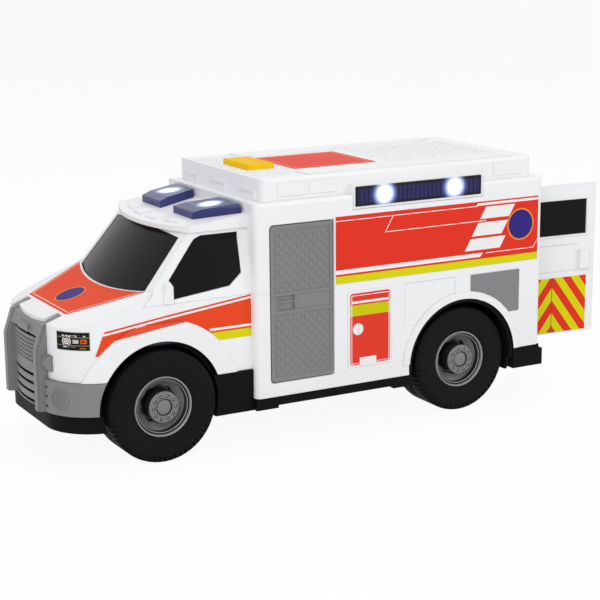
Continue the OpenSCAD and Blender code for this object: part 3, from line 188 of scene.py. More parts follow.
# %% [markdown]
# Every piece of a moulded toy has the same kind of skin: a colour that is never quite even, and a fine grain
# left by the tool. A node group holds that once. It takes a colour, a grain size and a roughness, and gives
# back a colour, a roughness and a height that change a little from place to place.

# %% Shared skin of moulded plastic
skin = bpy.data.node_groups.new("moulded_skin", "ShaderNodeTree")
skin.interface.new_socket("Color", in_out="INPUT", socket_type="NodeSocketColor")
for name in ("Unevenness", "Grain", "Roughness"):
    skin.interface.new_socket(name, in_out="INPUT", socket_type="NodeSocketFloat")
skin.interface.new_socket("Color", in_out="OUTPUT", socket_type="NodeSocketColor")
for name in ("Roughness", "Height"):
    skin.interface.new_socket(name, in_out="OUTPUT", socket_type="NodeSocketFloat")


def noise(tree, scale, detail):
    coords = tree.nodes.new("ShaderNodeTexCoord")
    node = tree.nodes.new("ShaderNodeTexNoise")
    node.inputs["Detail"].default_value = detail
    if isinstance(scale, float):
        node.inputs["Scale"].default_value = scale
    else:
        tree.links.new(scale, node.inputs["Scale"])
    tree.links.new(coords.outputs["Object"], node.inputs["Vector"])
    return node.outputs["Fac"]


given = skin.nodes.new("NodeGroupInput")
result = skin.nodes.new("NodeGroupOutput")
cloud = minus(skin, noise(skin, 28.0, 3.0), 0.5)
grain = minus(skin, noise(skin, given.outputs["Grain"], 2.0), 0.5)
tone = skin.nodes.new("ShaderNodeHueSaturation")
speckle = calc(skin, "MULTIPLY_ADD", grain, 0.4, cloud)
value = times(skin, speckle, given.outputs["Unevenness"])
skin.links.new(calc(skin, "MULTIPLY_ADD", value, 2.0, 1.0), tone.inputs["Value"])
skin.links.new(given.outputs["Color"], tone.inputs["Color"])
skin.links.new(tone.outputs["Color"], result.inputs["Color"])
patchy = calc(skin, "ADD", times(skin, grain, 0.12), times(skin, cloud, 0.1))
skin.links.new(calc(skin, "ADD", given.outputs["Roughness"], patchy), result.inputs["Roughness"])
skin.links.new(calc(skin, "MULTIPLY_ADD", cloud, 0.5, grain), result.inputs["Height"])
print("skin group has", len(skin.nodes), "nodes")

# %% [markdown]
# A helper turns a colour into a finished material: it places the skin group, and feeds its height to a Bump
# node. A Bevel node under the bump rounds the look of every sharp edge, as moulded edges catch a thin light.

# %% Finishing a material
GRAIN_DEPTH, RELIEF_DEPTH = 0.2 * MM, 0.4 * MM
RELIEF_STRENGTH = 0.6


def start(name):
    made = bpy.data.materials.new(name)
    made.use_nodes = True
    return made, made.node_tree


def dress(made, colour, roughness, grain=2600.0, uneven=0.02, bump=0.06, edge=0.35, shine=0.5,
          relief=None):
    """Places the skin group under a colour; relief is a height from 0 to 1 that stands over the grain."""
    tree = made.node_tree
    shader = tree.nodes["Principled BSDF"]
    group = tree.nodes.new("ShaderNodeGroup")
    group.node_tree = skin
    if isinstance(colour, tuple):
        group.inputs["Color"].default_value = (*colour, 1)
    else:
        tree.links.new(colour, group.inputs["Color"])
    group.inputs["Unevenness"].default_value = uneven
    group.inputs["Grain"].default_value = grain
    group.inputs["Roughness"].default_value = roughness
    tree.links.new(group.outputs["Color"], shader.inputs["Base Color"])
    tree.links.new(group.outputs["Roughness"], shader.inputs["Roughness"])
    soften = tree.nodes.new("ShaderNodeBevel")
    soften.samples = 4
    soften.inputs["Radius"].default_value = edge * MM
    raise_up = tree.nodes.new("ShaderNodeBump")
    raise_up.inputs["Strength"].default_value = bump if relief is None else RELIEF_STRENGTH
    raise_up.inputs["Distance"].default_value = GRAIN_DEPTH if relief is None else RELIEF_DEPTH
    height = group.outputs["Height"]
    if relief is not None:
        height = calc(tree, "MULTIPLY_ADD", height, bump, relief)
    tree.links.new(height, raise_up.inputs["Height"])
    tree.links.new(soften.outputs[0], raise_up.inputs["Normal"])
    tree.links.new(raise_up.outputs[0], shader.inputs["Normal"])
    shader.inputs["Specular IOR Level"].default_value = shine
    return made


def wear(made, *names):
    """Puts a material on solid pieces by name."""
    for name in names:
        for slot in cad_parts[name].material_slots:
            slot.material = made


# %% [markdown]
# The plain plastics come first. White shells are satin, grey trim and black chassis are matt, the windows are
# polished black. All of them are the same helper with other values. The shine value sets how strongly a
# surface mirrors the bright room: black plastic with too much of it would look grey.

# %% Plain plastics and metals
WHITE = (0.86, 0.87, 0.885)
GREY = (0.215, 0.214, 0.222)
BLACK = (0.0055, 0.0045, 0.0055)
RED = (0.76, 0.036, 0.018)
ORANGE = (0.81, 0.066, 0.017)
YELLOW = (0.69, 0.66, 0.004)
PRINT_WHITE = (0.86, 0.86, 0.85)

white_shell = dress(start("white_shell")[0], WHITE, 0.36, uneven=0.012, edge=0.6, shine=0.35)
wear(white_shell, "upper_body", "roof_cap", "rear_door")
wear(dress(start("grey_trim")[0], GREY, 0.46, uneven=0.05, bump=0.1, shine=0.4),
     "wheel_panel_left", "wheel_panel_right")
black_plastic = dress(start("black_chassis")[0], BLACK, 0.5, uneven=0.12, bump=0.12, shine=0.06)
wear(black_plastic, "chassis", "battery_cover")
wear(dress(start("tinted_window")[0], BLACK, 0.2, uneven=0.1, bump=0.01, shine=0.1),
     "cab_glazing", "rear_door_window")
wear(dress(start("circuit_green")[0], (0.01, 0.13, 0.03), 0.4, uneven=0.1), "circuit_board")
wear(dress(start("pale_rubber")[0], (0.6, 0.6, 0.54), 0.7, uneven=0.08), "button_dome")
wear(dress(start("clear_bulb")[0], (0.6, 0.7, 0.9), 0.12, uneven=0.02, bump=0.01), "side_leds", "cab_leds")
wear(dress(start("speaker_cone")[0], (0.07, 0.07, 0.08), 0.6, uneven=0.15), "speaker")
wear(dress(start("cell_wrap")[0], (0.78, 0.09, 0.02), 0.3, uneven=0.04), "batteries")
steel = dress(start("drawn_steel")[0], (0.45, 0.46, 0.47), 0.3, uneven=0.08)
steel.node_tree.nodes["Principled BSDF"].inputs["Metallic"].default_value = 1.0
wear(steel, "front_axle", "rear_axle", "battery_contacts", "battery_screw", "body_screws", "roof_screws")
print("materials so far:", len(bpy.data.materials))

# %% [markdown]
# A printed label is a picture that can be drawn from places alone. The next helpers read a point's place in
# millimetres behind the front axle and above the ground, make masks of bands and slanted bars from it, and
# lay one colour over another where a mask is 1. No picture file is needed, and the lines stay sharp.

# %% Drawing with masks


def places(tree):
    """Millimetres behind the front axle, to the right of the middle, and above the ground."""
    coords = tree.nodes.new("ShaderNodeTexCoord")
    split = tree.nodes.new("ShaderNodeSeparateXYZ")
    tree.links.new(coords.outputs["Object"], split.inputs[0])
    x = calc(tree, "MULTIPLY_ADD", split.outputs[0], 1 / MM, -FRONT_X / MM)
    return x, times(tree, split.outputs[1], 1 / MM), times(tree, split.outputs[2], 1 / MM)


def between(tree, value, low, high):
    return times(tree, above(tree, value, low), under(tree, value, high))


def both(tree, *masks):
    total = masks[0]
    for mask in masks[1:]:
        total = times(tree, total, mask)
    return total


def either(tree, *masks):
    total = masks[0]
    for mask in masks[1:]:
        total = calc(tree, "MAXIMUM", total, mask)
    return total


def leaning(tree, x, z, lean, foot):
    """x measured along a bar that leans by so many millimetres for each millimetre above its foot."""
    return minus(tree, x, times(tree, minus(tree, z, foot), lean))


def length(tree, a, b):
    return calc(tree, "SQRT", calc(tree, "ADD", times(tree, a, a), times(tree, b, b)))


def frame_line(tree, a, b, low, high, width):
    """The outline of a rectangle from one corner to the other, drawn inwards."""
    outer = both(tree, between(tree, a, low[0], high[0]), between(tree, b, low[1], high[1]))
    inner = both(tree, between(tree, a, low[0] + width, high[0] - width),
                 between(tree, b, low[1] + width, high[1] - width))
    return minus(tree, outer, inner)


def lay(tree, below, mask, colour):
    node = tree.nodes.new("ShaderNodeMix")
    node.data_type = "RGBA"
    tree.links.new(mask, node.inputs[0])
    for socket, value in ((node.inputs[6], below), (node.inputs[7], colour)):
        if isinstance(value, tuple):
            socket.default_value = (*value, 1)
        else:
            tree.links.new(value, socket)
    return node.outputs[2]


# %% [markdown]
# The same masks serve on plain pieces. The lower shell is white outside, but the wheel arches look black up
# to their edge, so every place nearer to an axle than the arch's radius is painted dark, as painted shade. So
# is the recess behind the grille. The cab stripe runs on over the edge of the flared wing, so its helper is
# written here, measured from a line that rises with x. The guard's holes are painted darker with depth, as
# painted shade.

# %% Wheel arches and guard
ARCH_FRONT, ARCH_FLAT, ARCH_REAR = 34.15, 62.5, 35.45
FLARE_EDGE, FLARE_Y = 45.6, 44.0
STRIPE_BEND, STRIPE_TOP = 1.4, 76.6
STRIPE_AHEAD, STRIPE_BEHIND = 0.1306, 0.1146
STRIPE_LINE = (0.9, 2.0)


def under_stripe_edge(tree, x, z):
    """Millimetres below the upper edge of the cab stripe."""
    from_bend = minus(tree, x, STRIPE_BEND)
    slope = times(tree, from_bend, STRIPE_AHEAD)
    slope = calc(tree, "MINIMUM", slope, times(tree, from_bend, STRIPE_BEHIND))
    return minus(tree, calc(tree, "ADD", slope, STRIPE_TOP), z)


WHEELBASE = (REAR_X - FRONT_X) / MM
made, tree = start("white_lower_shell")
x, y, z = places(tree)
over = minus(tree, z, AXLE_Z / MM)
# The recess behind the grille and the insides of the wheel arches are painted black, as painted shade.
grille_recess_shade = both(tree, under(tree, x, -42.9), under(tree, size_of(tree, y), 25.9), under(tree, z, 68.5))
rear_away = length(tree, minus(tree, x, WHEELBASE), over)
arch_and_recess_shade = either(tree, grille_recess_shade, under(tree, length(tree, x, over), ARCH_FRONT),
              both(tree, between(tree, x, -9.8, 9.8), under(tree, z, ARCH_FLAT)),
              under(tree, rear_away, ARCH_REAR))
drop = under_stripe_edge(tree, x, z)
on_flare = both(tree, under(tree, length(tree, x, over), FLARE_EDGE),
                above(tree, size_of(tree, y), FLARE_Y), between(tree, drop, 0.2, 5.6))
colour = lay(tree, WHITE, on_flare, ORANGE)
colour = lay(tree, colour, both(tree, on_flare, between(tree, drop, *STRIPE_LINE)), PRINT_WHITE)
colour = lay(tree, colour, arch_and_recess_shade, BLACK)
wear(dress(made, colour, 0.36, uneven=0.012, edge=0.6, shine=0.35), "lower_body")

GRILLE_AXIS, GRILLE_R = 34.6, 90.0
GRILLE_HALF, GRILLE_TOP = 19.1, 68.7
made, tree = start("grey_guard")
x, y, z = places(tree)
bow = length(tree, minus(tree, x, GRILLE_AXIS), y)
# Deeper than 0.35 mm behind the guard's face, the hole walls are painted near black, as painted shade.
hole_shade = both(tree, between(tree, y, -GRILLE_HALF, GRILLE_HALF), between(tree, bow, 80.0, GRILLE_R - 0.35),
            under(tree, z, GRILLE_TOP))
colour = lay(tree, GREY, hole_shade, (0.012, 0.012, 0.0125))
grey_guard = dress(made, colour, 0.46, uneven=0.05, bump=0.1, shine=0.4)
wear(grey_guard, "front_guard")
print("wheelbase in mm:", round(WHEELBASE, 1))

# %% [markdown]
# The long label on the box is red, with a yellow stripe at its foot, a white stripe above that, three white
# bars that lean forward, fine white lines and a plain round badge. Each element is one or two masks, laid on
# in order. The badge is two discs, one inside the other, and the hood wears the same one.

# %% Box side label
BAR_LEAN = 0.58
BADGE_BLUE = (0.035, 0.022, 0.2)
BADGE_RIM = (0.83, 0.26, 0.02)


def printed(made, colour, *nodes):
    """Ink on a smooth label: less shine and less grain than the plastic under it."""
    wear(dress(made, colour, 0.45, grain=4000.0, uneven=0.008, bump=0.01, edge=0.1, shine=0.07), *nodes)


def badge(tree, below, a, b, size):
    away = length(tree, a, b)
    colour = lay(tree, below, under(tree, away, size), BADGE_RIM)
    return lay(tree, colour, under(tree, away, size * 0.9), BADGE_BLUE)


made, tree = start("side_print")
x, y, z = places(tree)
lean = leaning(tree, x, z, BAR_LEAN, 92.0)
colour = lay(tree, RED, between(tree, z, 0, 86.8), YELLOW)
ahead = under(tree, leaning(tree, x, z, 0.9, 88.0), 194.2)
stripe = both(tree, between(tree, z, 87.9, 90.2), ahead)
bars = [both(tree, between(tree, z, low, high), between(tree, lean, 183.7, right_end))
        for low, high, right_end in ((92.0, 98.6, 207.6), (100.0, 107.3, 204.0), (109.4, 116.0, 203.6))]
behind = above(tree, leaning(tree, x, z, 0.9, 117.0), 191.0)
head = both(tree, between(tree, z, 117.0, 118.4), behind)
fine = [
    both(tree, between(tree, z, 116.6, 117.0), under(tree, x, 192.0)),
    both(tree, between(tree, z, 108.1, 108.5), between(tree, x, 131.6, 198.0)),
    both(tree, between(tree, leaning(tree, x, z, BAR_LEAN, 108.1), 131.4, 131.9),
         between(tree, z, 108.1, 116.6)),
    both(tree, between(tree, z, 89.6, 90.0), between(tree, x, 198.0, 230.8)),
    both(tree, between(tree, leaning(tree, x, z, 0.65, 89.6), 230.4, 230.9), between(tree, z, 89.6, 97.2)),
]
colour = lay(tree, colour, either(tree, stripe, head, *bars, *fine), PRINT_WHITE)
colour = badge(tree, colour, minus(tree, x, 221.7), minus(tree, z, 104.0), 9.2)
printed(made, colour, "side_label_left", "side_label_right")
print("side print nodes:", len(tree.nodes))

# %% [markdown]
# The locker hatch carries a red label with a woven shade in it. A white line, a yellow band and a thin white
# frame cross it, and it is cut away round the latch and at the foot, where the white plastic shows.

# %% Locker hatch label
WEAVE = 4.6
HATCH_LOW, HATCH_HIGH = (110.2, 37.3), (134.2, 75.5)
LATCH_X, LATCH_Z, LATCH_R = 114.4, 56.6, 3.3
made, tree = start("hatch_print")
x, y, z = places(tree)
weave = calc(tree, "SINE", times(tree, calc(tree, "ADD", x, z), WEAVE))
cross = calc(tree, "SINE", times(tree, minus(tree, x, z), WEAVE))
woven = calc(tree, "MULTIPLY_ADD", times(tree, weave, cross), 0.5, 0.5)
colour = lay(tree, RED, times(tree, woven, 0.18), (0.86, 0.16, 0.1))
band = lay(tree, YELLOW, times(tree, woven, 0.6), (0.4, 0.42, 0.003))
colour = lay(tree, colour, between(tree, z, 64.0, 70.0), band)
rim = frame_line(tree, x, z, HATCH_LOW, HATCH_HIGH, 0.4)
far = minus(tree, x, LATCH_X)
radius = length(tree, far, minus(tree, z, LATCH_Z))
latch = under(tree, radius, LATCH_R)
notch = both(tree, between(tree, x, 115.4, 125.9), under(tree, z, 40.6))
rule = both(tree, between(tree, z, 70.9, 72.2), between(tree, x, HATCH_LOW[0], HATCH_HIGH[0]))
colour = lay(tree, colour, either(tree, rim, rule, latch, notch), PRINT_WHITE)
# The grey slot line and ring on the white latch are painted shade of its moulded edges.
groove = either(tree, both(tree, latch, between(tree, far, 0.2, 0.5)),
                between(tree, radius, LATCH_R - 0.2, LATCH_R + 0.1))
printed(made, lay(tree, colour, groove, (0.42, 0.42, 0.43)), "hatch_label_left", "hatch_label_right")
print("hatch print nodes:", len(tree.nodes))

# %% [markdown]
# The cab stripe rises with the wing, and its white line runs just under the upper edge. Near the box a second
# white line and a yellow foot meet the box's stripes. The hood and roof labels have a fine line all round.

# %% Cab stripe, hood and roof labels
made, tree = start("cab_print")
x, y, z = places(tree)
drop = under_stripe_edge(tree, x, z)
low_line = both(tree, between(tree, z, 65.6, 66.9), above(tree, x, 28.0))
aft = above(tree, leaning(tree, x, z, 0.9, 60.0), 24.0)
foot = both(tree, under(tree, z, 64.6), aft)
colour = lay(tree, ORANGE, foot, YELLOW)
colour = lay(tree, colour, either(tree, between(tree, drop, *STRIPE_LINE), low_line), PRINT_WHITE)
printed(made, colour, "cab_label_left", "cab_label_right")

made, tree = start("hood_print")
x, y, z = places(tree)
wide = size_of(tree, y)
edge_y = calc(tree, "MULTIPLY_ADD", x, 0.4936, 47.5)
inset = minus(tree, edge_y, wide)
line = either(tree, between(tree, inset, 1.5, 2.0), between(tree, x, -40.2, -39.8))
line = both(tree, line, above(tree, inset, 1.5), above(tree, x, -40.2))
colour = lay(tree, ORANGE, line, PRINT_WHITE)
printed(made, badge(tree, colour, calc(tree, "ADD", x, 28.7), y, 8.4), "hood_label")

made, tree = start("roof_print")
x, y, z = places(tree)
rim = frame_line(tree, x, y, (95.2, -21.8), (142.4, 21.8), 0.5)
printed(made, lay(tree, RED, rim, (0.8, 0.5, 0.05)), "roof_label")
print("label materials:", [m.name for m in bpy.data.materials if m.name.endswith("print")])

# %% [markdown]
# The rear door wears the chevrons of many emergency vehicles: red and yellow stripes that climb to a point
# over the middle. The distance from the middle, added to the height, counts the stripes. The door stands
# open, so across the door is along X here.

# %% Chevrons on the rear door
door_low, door_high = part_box("rear_door_label")
CHEVRON_MIDDLE = (door_low.x + door_high.x) / 2 / MM - FRONT_X / MM
CHEVRON_PERIOD = 15.4
made, tree = start("chevron_print")
x, y, z = places(tree)
away = size_of(tree, minus(tree, x, CHEVRON_MIDDLE))
climb = minus(tree, calc(tree, "MULTIPLY_ADD", away, 1.34, z), 50.2)
part = calc(tree, "FRACT", calc(tree, "ADD", calc(tree, "DIVIDE", climb, CHEVRON_PERIOD), 8.0))
colour = lay(tree, RED, under(tree, part, 0.5), YELLOW)
printed(made, lay(tree, colour, under(tree, away, 0.22), (0.16, 0.08, 0.01)), "rear_door_label")
print("chevron middle:", round(CHEVRON_MIDDLE, 1))

# %% [markdown]
# A headlamp is a small print that wraps round the corner of the nose. The angle round that corner, times its
# radius, unrolls it to a flat drawing: a lamp with rings, a pale reflector and an orange signal between two
# olive rails, with broken white streaks of painted highlight above and below that come from a noise.

# %% Headlamp prints
LAMP_START, LAMP_RADIUS = math.radians(25), 26.0
LAMP_AXIS_X, LAMP_AXIS_Y = -26.0, 23.5
LAMP_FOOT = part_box("headlamp_labels")[0].z / MM
HIGHLIGHT_STREAK = (0.72, 0.72, 0.7)
made, tree = start("headlamp_print")
x, y, z = places(tree)
bend = calc(tree, "ARCTAN2", minus(tree, size_of(tree, y), LAMP_AXIS_Y), minus(tree, LAMP_AXIS_X, x))
u = times(tree, minus(tree, bend, LAMP_START), LAMP_RADIUS)
v = minus(tree, z, LAMP_FOOT)


def patch(low, high):
    return both(tree, between(tree, u, low[0], high[0]), between(tree, v, low[1], high[1]))


broken = above(tree, noise(tree, 900.0, 1.0), 0.5)
rails = either(tree, patch((0, 6.5), (19, 7.0)), patch((0, 2.3), (19, 2.8)))
colour = lay(tree, (0.008, 0.008, 0.009), rails, (0.2, 0.19, 0.12))
# The broken white streaks above and below the rails are painted highlights.
colour = lay(tree, colour, both(tree, broken, patch((3.0, 7.1), (16.0, 7.9))), HIGHLIGHT_STREAK)
colour = lay(tree, colour, both(tree, broken, patch((4.0, 1.5), (10.5, 2.1))), HIGHLIGHT_STREAK)
colour = lay(tree, colour, patch((13.0, 0.8), (16.2, 1.6)), (0.28, 0.15, 0.04))
u_lamp = minus(tree, u, 5.9)
round_lamp = length(tree, u_lamp, minus(tree, v, 4.65))
sideways = above(tree, size_of(tree, u_lamp), 1.3)
wings = both(tree, between(tree, round_lamp, 2.0, 2.5), sideways)
colour = lay(tree, colour, either(tree, wings, under(tree, round_lamp, 1.6)), (0.76, 0.76, 0.75))
colour = lay(tree, colour, between(tree, round_lamp, 0.55, 0.95), (0.12, 0.12, 0.12))
colour = lay(tree, colour, patch((9.2, 3.7), (12.5, 5.6)), (0.55, 0.54, 0.53))
colour = lay(tree, colour, patch((9.2, 3.9), (9.8, 5.4)), (0.5, 0.2, 0.15))
colour = lay(tree, colour, patch((13.4, 3.5), (16.8, 5.9)), (0.6, 0.1, 0.025))
colour = lay(tree, colour, patch((14.0, 4.1), (15.4, 5.2)), (0.26, 0.03, 0.015))
border = minus(tree, 1.0, patch((0.35, 0.3), (17.8, 9.1)))
printed(made, lay(tree, colour, border, (0.14, 0.13, 0.08)), "headlamp_labels")
print("headlamp print nodes:", len(tree.nodes))

# %% [markdown]
# The lamp lenses are dark blue and fluted, and lit from behind. A soft spot of emission round each bulb's
# place gives the lit look. It is part of the lens itself, so it stays right from every side.

# %% Blue lenses


def fade(tree, value, near, far, kind):
    """Falls from 1 to 0 while a value grows from near to far."""
    node = tree.nodes.new("ShaderNodeMapRange")
    node.interpolation_type = kind
    tree.links.new(value, node.inputs["Value"])
    for name, number in (("From Min", near), ("From Max", far), ("To Min", 1.0), ("To Max", 0.0)):
        node.inputs[name].default_value = number
    return node.outputs[0]


def spot(tree, a, b, centre, size):
    """Falls from 1 at a centre to 0 at a distance."""
    away = length(tree, minus(tree, a, centre[0]), minus(tree, b, centre[1]))
    return fade(tree, away, 0.0, size, "SMOOTHERSTEP")


def lens(name, a_axis, b_axis, spots, size, pitch, window=None):
    """A lit lens. A window is the fluted part that shines; what lies round it stays almost black."""
    made, tree = start(name)
    sockets = places(tree)
    a, b = sockets[a_axis], sockets[b_axis]
    if b_axis == 1:
        b = size_of(tree, b)
    light = either(tree, *[spot(tree, a, b, s, size) for s in spots])
    core = either(tree, *[spot(tree, a, b, s, size * 0.7) for s in spots])
    wave = calc(tree, "SINE", times(tree, a, 2 * math.pi / pitch))
    flute = calc(tree, "MULTIPLY_ADD", wave, 0.5, 0.5)
    relief = None
    if window:
        low, high = window
        shine = both(tree, between(tree, a, low[0], high[0]), between(tree, b, low[1], high[1]))
        colour = lay(tree, (0.009, 0.008, 0.05), times(tree, flute, 0.6), (0.035, 0.03, 0.19))
        colour = lay(tree, (0.003, 0.003, 0.008), shine, colour)
    else:
        cloud = times(tree, noise(tree, 60.0, 2.0), 0.8)
        colour = lay(tree, (0.016, 0.018, 0.085), cloud, (0.05, 0.065, 0.27))
        relief = times(tree, flute, 0.06)
    dress(made, colour, 0.16, uneven=0.06, bump=0.02, edge=0.4, shine=0.25, relief=relief)
    lit = lay(tree, (0.0, 0.0, 0.0), times(tree, light, light), (0.2, 0.36, 0.95))
    lit = lay(tree, lit, core, (0.95, 0.98, 1.0))
    shader = tree.nodes["Principled BSDF"]
    tree.links.new(lit, shader.inputs["Emission Color"])
    shader.inputs["Emission Strength"].default_value = 1.8
    return made


BAR_WINDOW = ((114.8, 125.2), (192.4, 132.7))
BAR_BULBS = ((131.0, 129.2), (176.2, 129.2))
SPOT_SIZE = 12.0
FLUTE_PITCH = 2.7
bar_blue = lens("lightbar_blue", 0, 2, BAR_BULBS, SPOT_SIZE, FLUTE_PITCH, BAR_WINDOW)
wear(bar_blue, "lightbar_lens_left", "lightbar_lens_right")
wear(lens("cab_lamp_blue", 0, 1, ((41.1, 25.8),), SPOT_SIZE, 3.2), "cab_lamp_left", "cab_lamp_right")
print("bulbs in a light bar:", len(BAR_BULBS))

# %% [markdown]
# The grey side doors have a tread-plate pattern in their two panels: short raised bars, turned a quarter from
# one to the next. The bars are studs, made further down. Their tops are painted lighter as painted highlight,
# more on the bars of one slant than on the other, and this node group finds them: it cuts the plane into
# cells, turns every second cell, and marks a long ellipse in each.

# %% Tread plate on the side doors
tread = bpy.data.node_groups.new("tread_plate", "ShaderNodeTree")
for name in ("Across", "Up"):
    tread.interface.new_socket(name, in_out="INPUT", socket_type="NodeSocketFloat")
for name in ("Height", "Slant"):
    tread.interface.new_socket(name, in_out="OUTPUT", socket_type="NodeSocketFloat")
given = tread.nodes.new("NodeGroupInput")
result = tread.nodes.new("NodeGroupOutput")
u, v = given.outputs["Across"], given.outputs["Up"]
cells = calc(tread, "ADD", calc(tread, "FLOOR", u), calc(tread, "FLOOR", v))
flip = calc(tread, "MULTIPLY_ADD", calc(tread, "FLOORED_MODULO", cells, 2.0), 2.0, -1.0)
du = minus(tread, calc(tread, "FRACT", u), 0.5)
dv = times(tread, minus(tread, calc(tread, "FRACT", v), 0.5), flip)
along = calc(tread, "DIVIDE", calc(tread, "ADD", du, dv), 0.78)
aside = calc(tread, "DIVIDE", minus(tread, du, dv), 0.3)
ring = calc(tread, "ADD", times(tread, along, along), times(tread, aside, aside))
tread.links.new(fade(tread, ring, 0.35, 1.0, "SMOOTHSTEP"), result.inputs["Height"])
tread.links.new(flip, result.inputs["Slant"])

TREAD_CELL = 2.5
TREAD_X, TREAD_Z, TREAD_COUNT, TREAD_UPPER = 64.3, 37.3, 13, 18
DOOR_CORNER = 2.2
PIN_LENGTH = 4.0 * MM
door_low, door_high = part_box("side_door_left")
door_low.z += PIN_LENGTH
door_high.z -= PIN_LENGTH
made, tree = start("grey_door")
x, y, z = places(tree)
pattern = tree.nodes.new("ShaderNodeGroup")
pattern.node_tree = tread
across = calc(tree, "DIVIDE", minus(tree, x, TREAD_X), TREAD_CELL)
up = calc(tree, "DIVIDE", minus(tree, z, TREAD_Z), TREAD_CELL)
tree.links.new(across, pattern.inputs["Across"])
tree.links.new(up, pattern.inputs["Up"])
rows = either(tree, between(tree, up, 0, TREAD_COUNT),
              between(tree, up, TREAD_UPPER, TREAD_UPPER + TREAD_COUNT))
panels = both(tree, between(tree, across, 0, TREAD_COUNT), rows)
raised = times(tree, pattern.outputs["Height"], panels)
# The bar tops are painted lighter, the more so on one slant, as painted highlight.
slant_highlight = times(tree, raised, calc(tree, "MULTIPLY_ADD", pattern.outputs["Slant"], 0.3, 0.35))
colour = lay(tree, GREY, slant_highlight, (0.29, 0.29, 0.3))
past = []
for value, low, high in ((x, door_low.x - FRONT_X, door_high.x - FRONT_X), (z, door_low.z, door_high.z)):
    out = size_of(tree, minus(tree, value, (low + high) / 2 / MM))
    past.append(calc(tree, "MAXIMUM", minus(tree, out, (high - low) / 2 / MM - DOOR_CORNER), 0.0))
from_corner = length(tree, *past)
print("door in mm:", [round(v / MM, 1) for v in (*door_low, *door_high)])
# A thin dark line along the door's edge is painted shade of the gap round it; past it the sharp corners are
# painted white, so that they look round.
colour = lay(tree, colour, above(tree, from_corner, DOOR_CORNER - 0.25), (0.1, 0.1, 0.104))
colour = lay(tree, colour, above(tree, from_corner, DOOR_CORNER + 0.12), WHITE)
grey_door = dress(made, colour, 0.44, uneven=0.05, bump=0.1, shine=0.35)
wear(grey_door, "side_door_left", "side_door_right")
print("tread group has", len(tread.nodes), "nodes")

# %% [markdown]
# Round pieces start as a chain of points, drawn by pulling one vertex along with Extrude, and become a body
# with Spin. The chain lies in the plane through the axis, so it reads like a drawing of half the section.

# %% Spinning a section
SMOOTH_ANGLE = math.radians(32)


def draw_chain(name, places):
    """Pulls one vertex from place to place, and stays in edit mode with the whole chain selected."""
    bpy.ops.object.select_all(action="DESELECT")
    bpy.ops.mesh.primitive_plane_add(size=1 * MM, location=places[0])
    piece = bpy.context.object
    piece.name = name
    bpy.ops.object.transform_apply(location=True, rotation=True, scale=True)
    bpy.ops.object.mode_set(mode="EDIT")
    bpy.ops.mesh.select_all(action="SELECT")
    bpy.ops.mesh.merge(type="CENTER")
    for before, after in zip(places, places[1:]):
        bpy.ops.mesh.extrude_region_move(TRANSFORM_OT_translate={"value": after - before})
    bpy.ops.mesh.select_all(action="SELECT")
    return piece


def spin_section(name, points, steps, centre):
    """Spins a section, given as radius and depth in millimetres, round an axle along Y through a centre."""
    piece = draw_chain(name, [centre + Vector((radius * MM, depth * MM, 0)) for radius, depth in points])
    bpy.ops.mesh.spin(steps=steps, angle=2 * math.pi, center=centre, axis=(0, 1, 0))
    bpy.ops.mesh.select_all(action="SELECT")
    bpy.ops.mesh.remove_doubles(threshold=0.01 * MM)
    bpy.ops.mesh.normals_make_consistent(inside=False)
    bpy.ops.object.mode_set(mode="OBJECT")
    bpy.ops.object.shade_smooth_by_angle(angle=SMOOTH_ANGLE)
    return piece


def mirror(piece):
    """Turns a piece's mesh over to the other side of the toy."""
    piece.data.transform(Matrix.Scale(-1, 4, (0, 1, 0)))
    piece.data.flip_normals()


def copy_of(piece, name, shift=(0, 0, 0), flip=False):
    """A copy with a mesh of its own, moved, and mirrored to the other side where that is asked."""
    twin = piece.copy()
    twin.data = piece.data.copy()
    twin.name = name
    bpy.context.collection.objects.link(twin)
    if flip:
        mirror(twin)
    twin.data.transform(Matrix.Translation(shift))
    return twin


def join(pieces):
    """Joins pieces to the first of them."""
    bpy.ops.object.select_all(action="DESELECT")
    for piece in pieces:
        piece.select_set(True)
    bpy.context.view_layer.objects.active = pieces[0]
    bpy.ops.object.join()
    return bpy.context.object


def gather(name, copies, made, body):
    """Joins copies to one piece, which wears a material and rides a body."""
    whole = join(copies)
    whole.name = name
    whole.data.materials.append(made)
    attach(whole, body)
    print(name, "joins", len(copies), "copies")


# %% [markdown]
# The tyres are plain soft rings in the solid model. Here the section gets a rounded shoulder and a groove
# round the tread. One tyre is modelled, and the others are copies.
#
# The last step is meant to push in every third row of faces, to leave a ring of lugs, and it has a known
# fault. The faces are picked in vertex mode, where each face that is not wanted drops corners of its
# neighbours. No whole face stays picked, so Extrude pulls out loose flaps along some edges, and their
# number changes from run to run. Face select mode before the loop would mend it.

# %% Tyres
WHEEL_FACE = 52.5 * MM
TYRE_WIDTH = 24.0
LUGS = 60
LUG_DEPTH = 0.6
SHOULDER_R = 26.9
tyre_half = [
    (16.0, 1.3), (16.6, 0.7), (17.6, 0.35), (19.0, 0.5), (20.2, 0.1), (22.4, 0.0), (25.5, 0.1), (27.6, 0.4),
    (28.8, 0.7), (29.5, 1.2), (29.68, 1.9), (29.68, 10.6), (28.9, 10.9), (28.9, 12.0),
]
section = tyre_half + [(r, TYRE_WIDTH - d) for r, d in reversed(tyre_half[:-1])] + [tyre_half[0]]
hub_centre = Vector((FRONT_X, -WHEEL_FACE, AXLE_Z))
tyre = spin_section("front_tyre_ring_left", section, LUGS * 3, hub_centre)


def turn_of(centre):
    return math.degrees(math.atan2(centre.z - AXLE_Z, centre.x - FRONT_X)) % 360


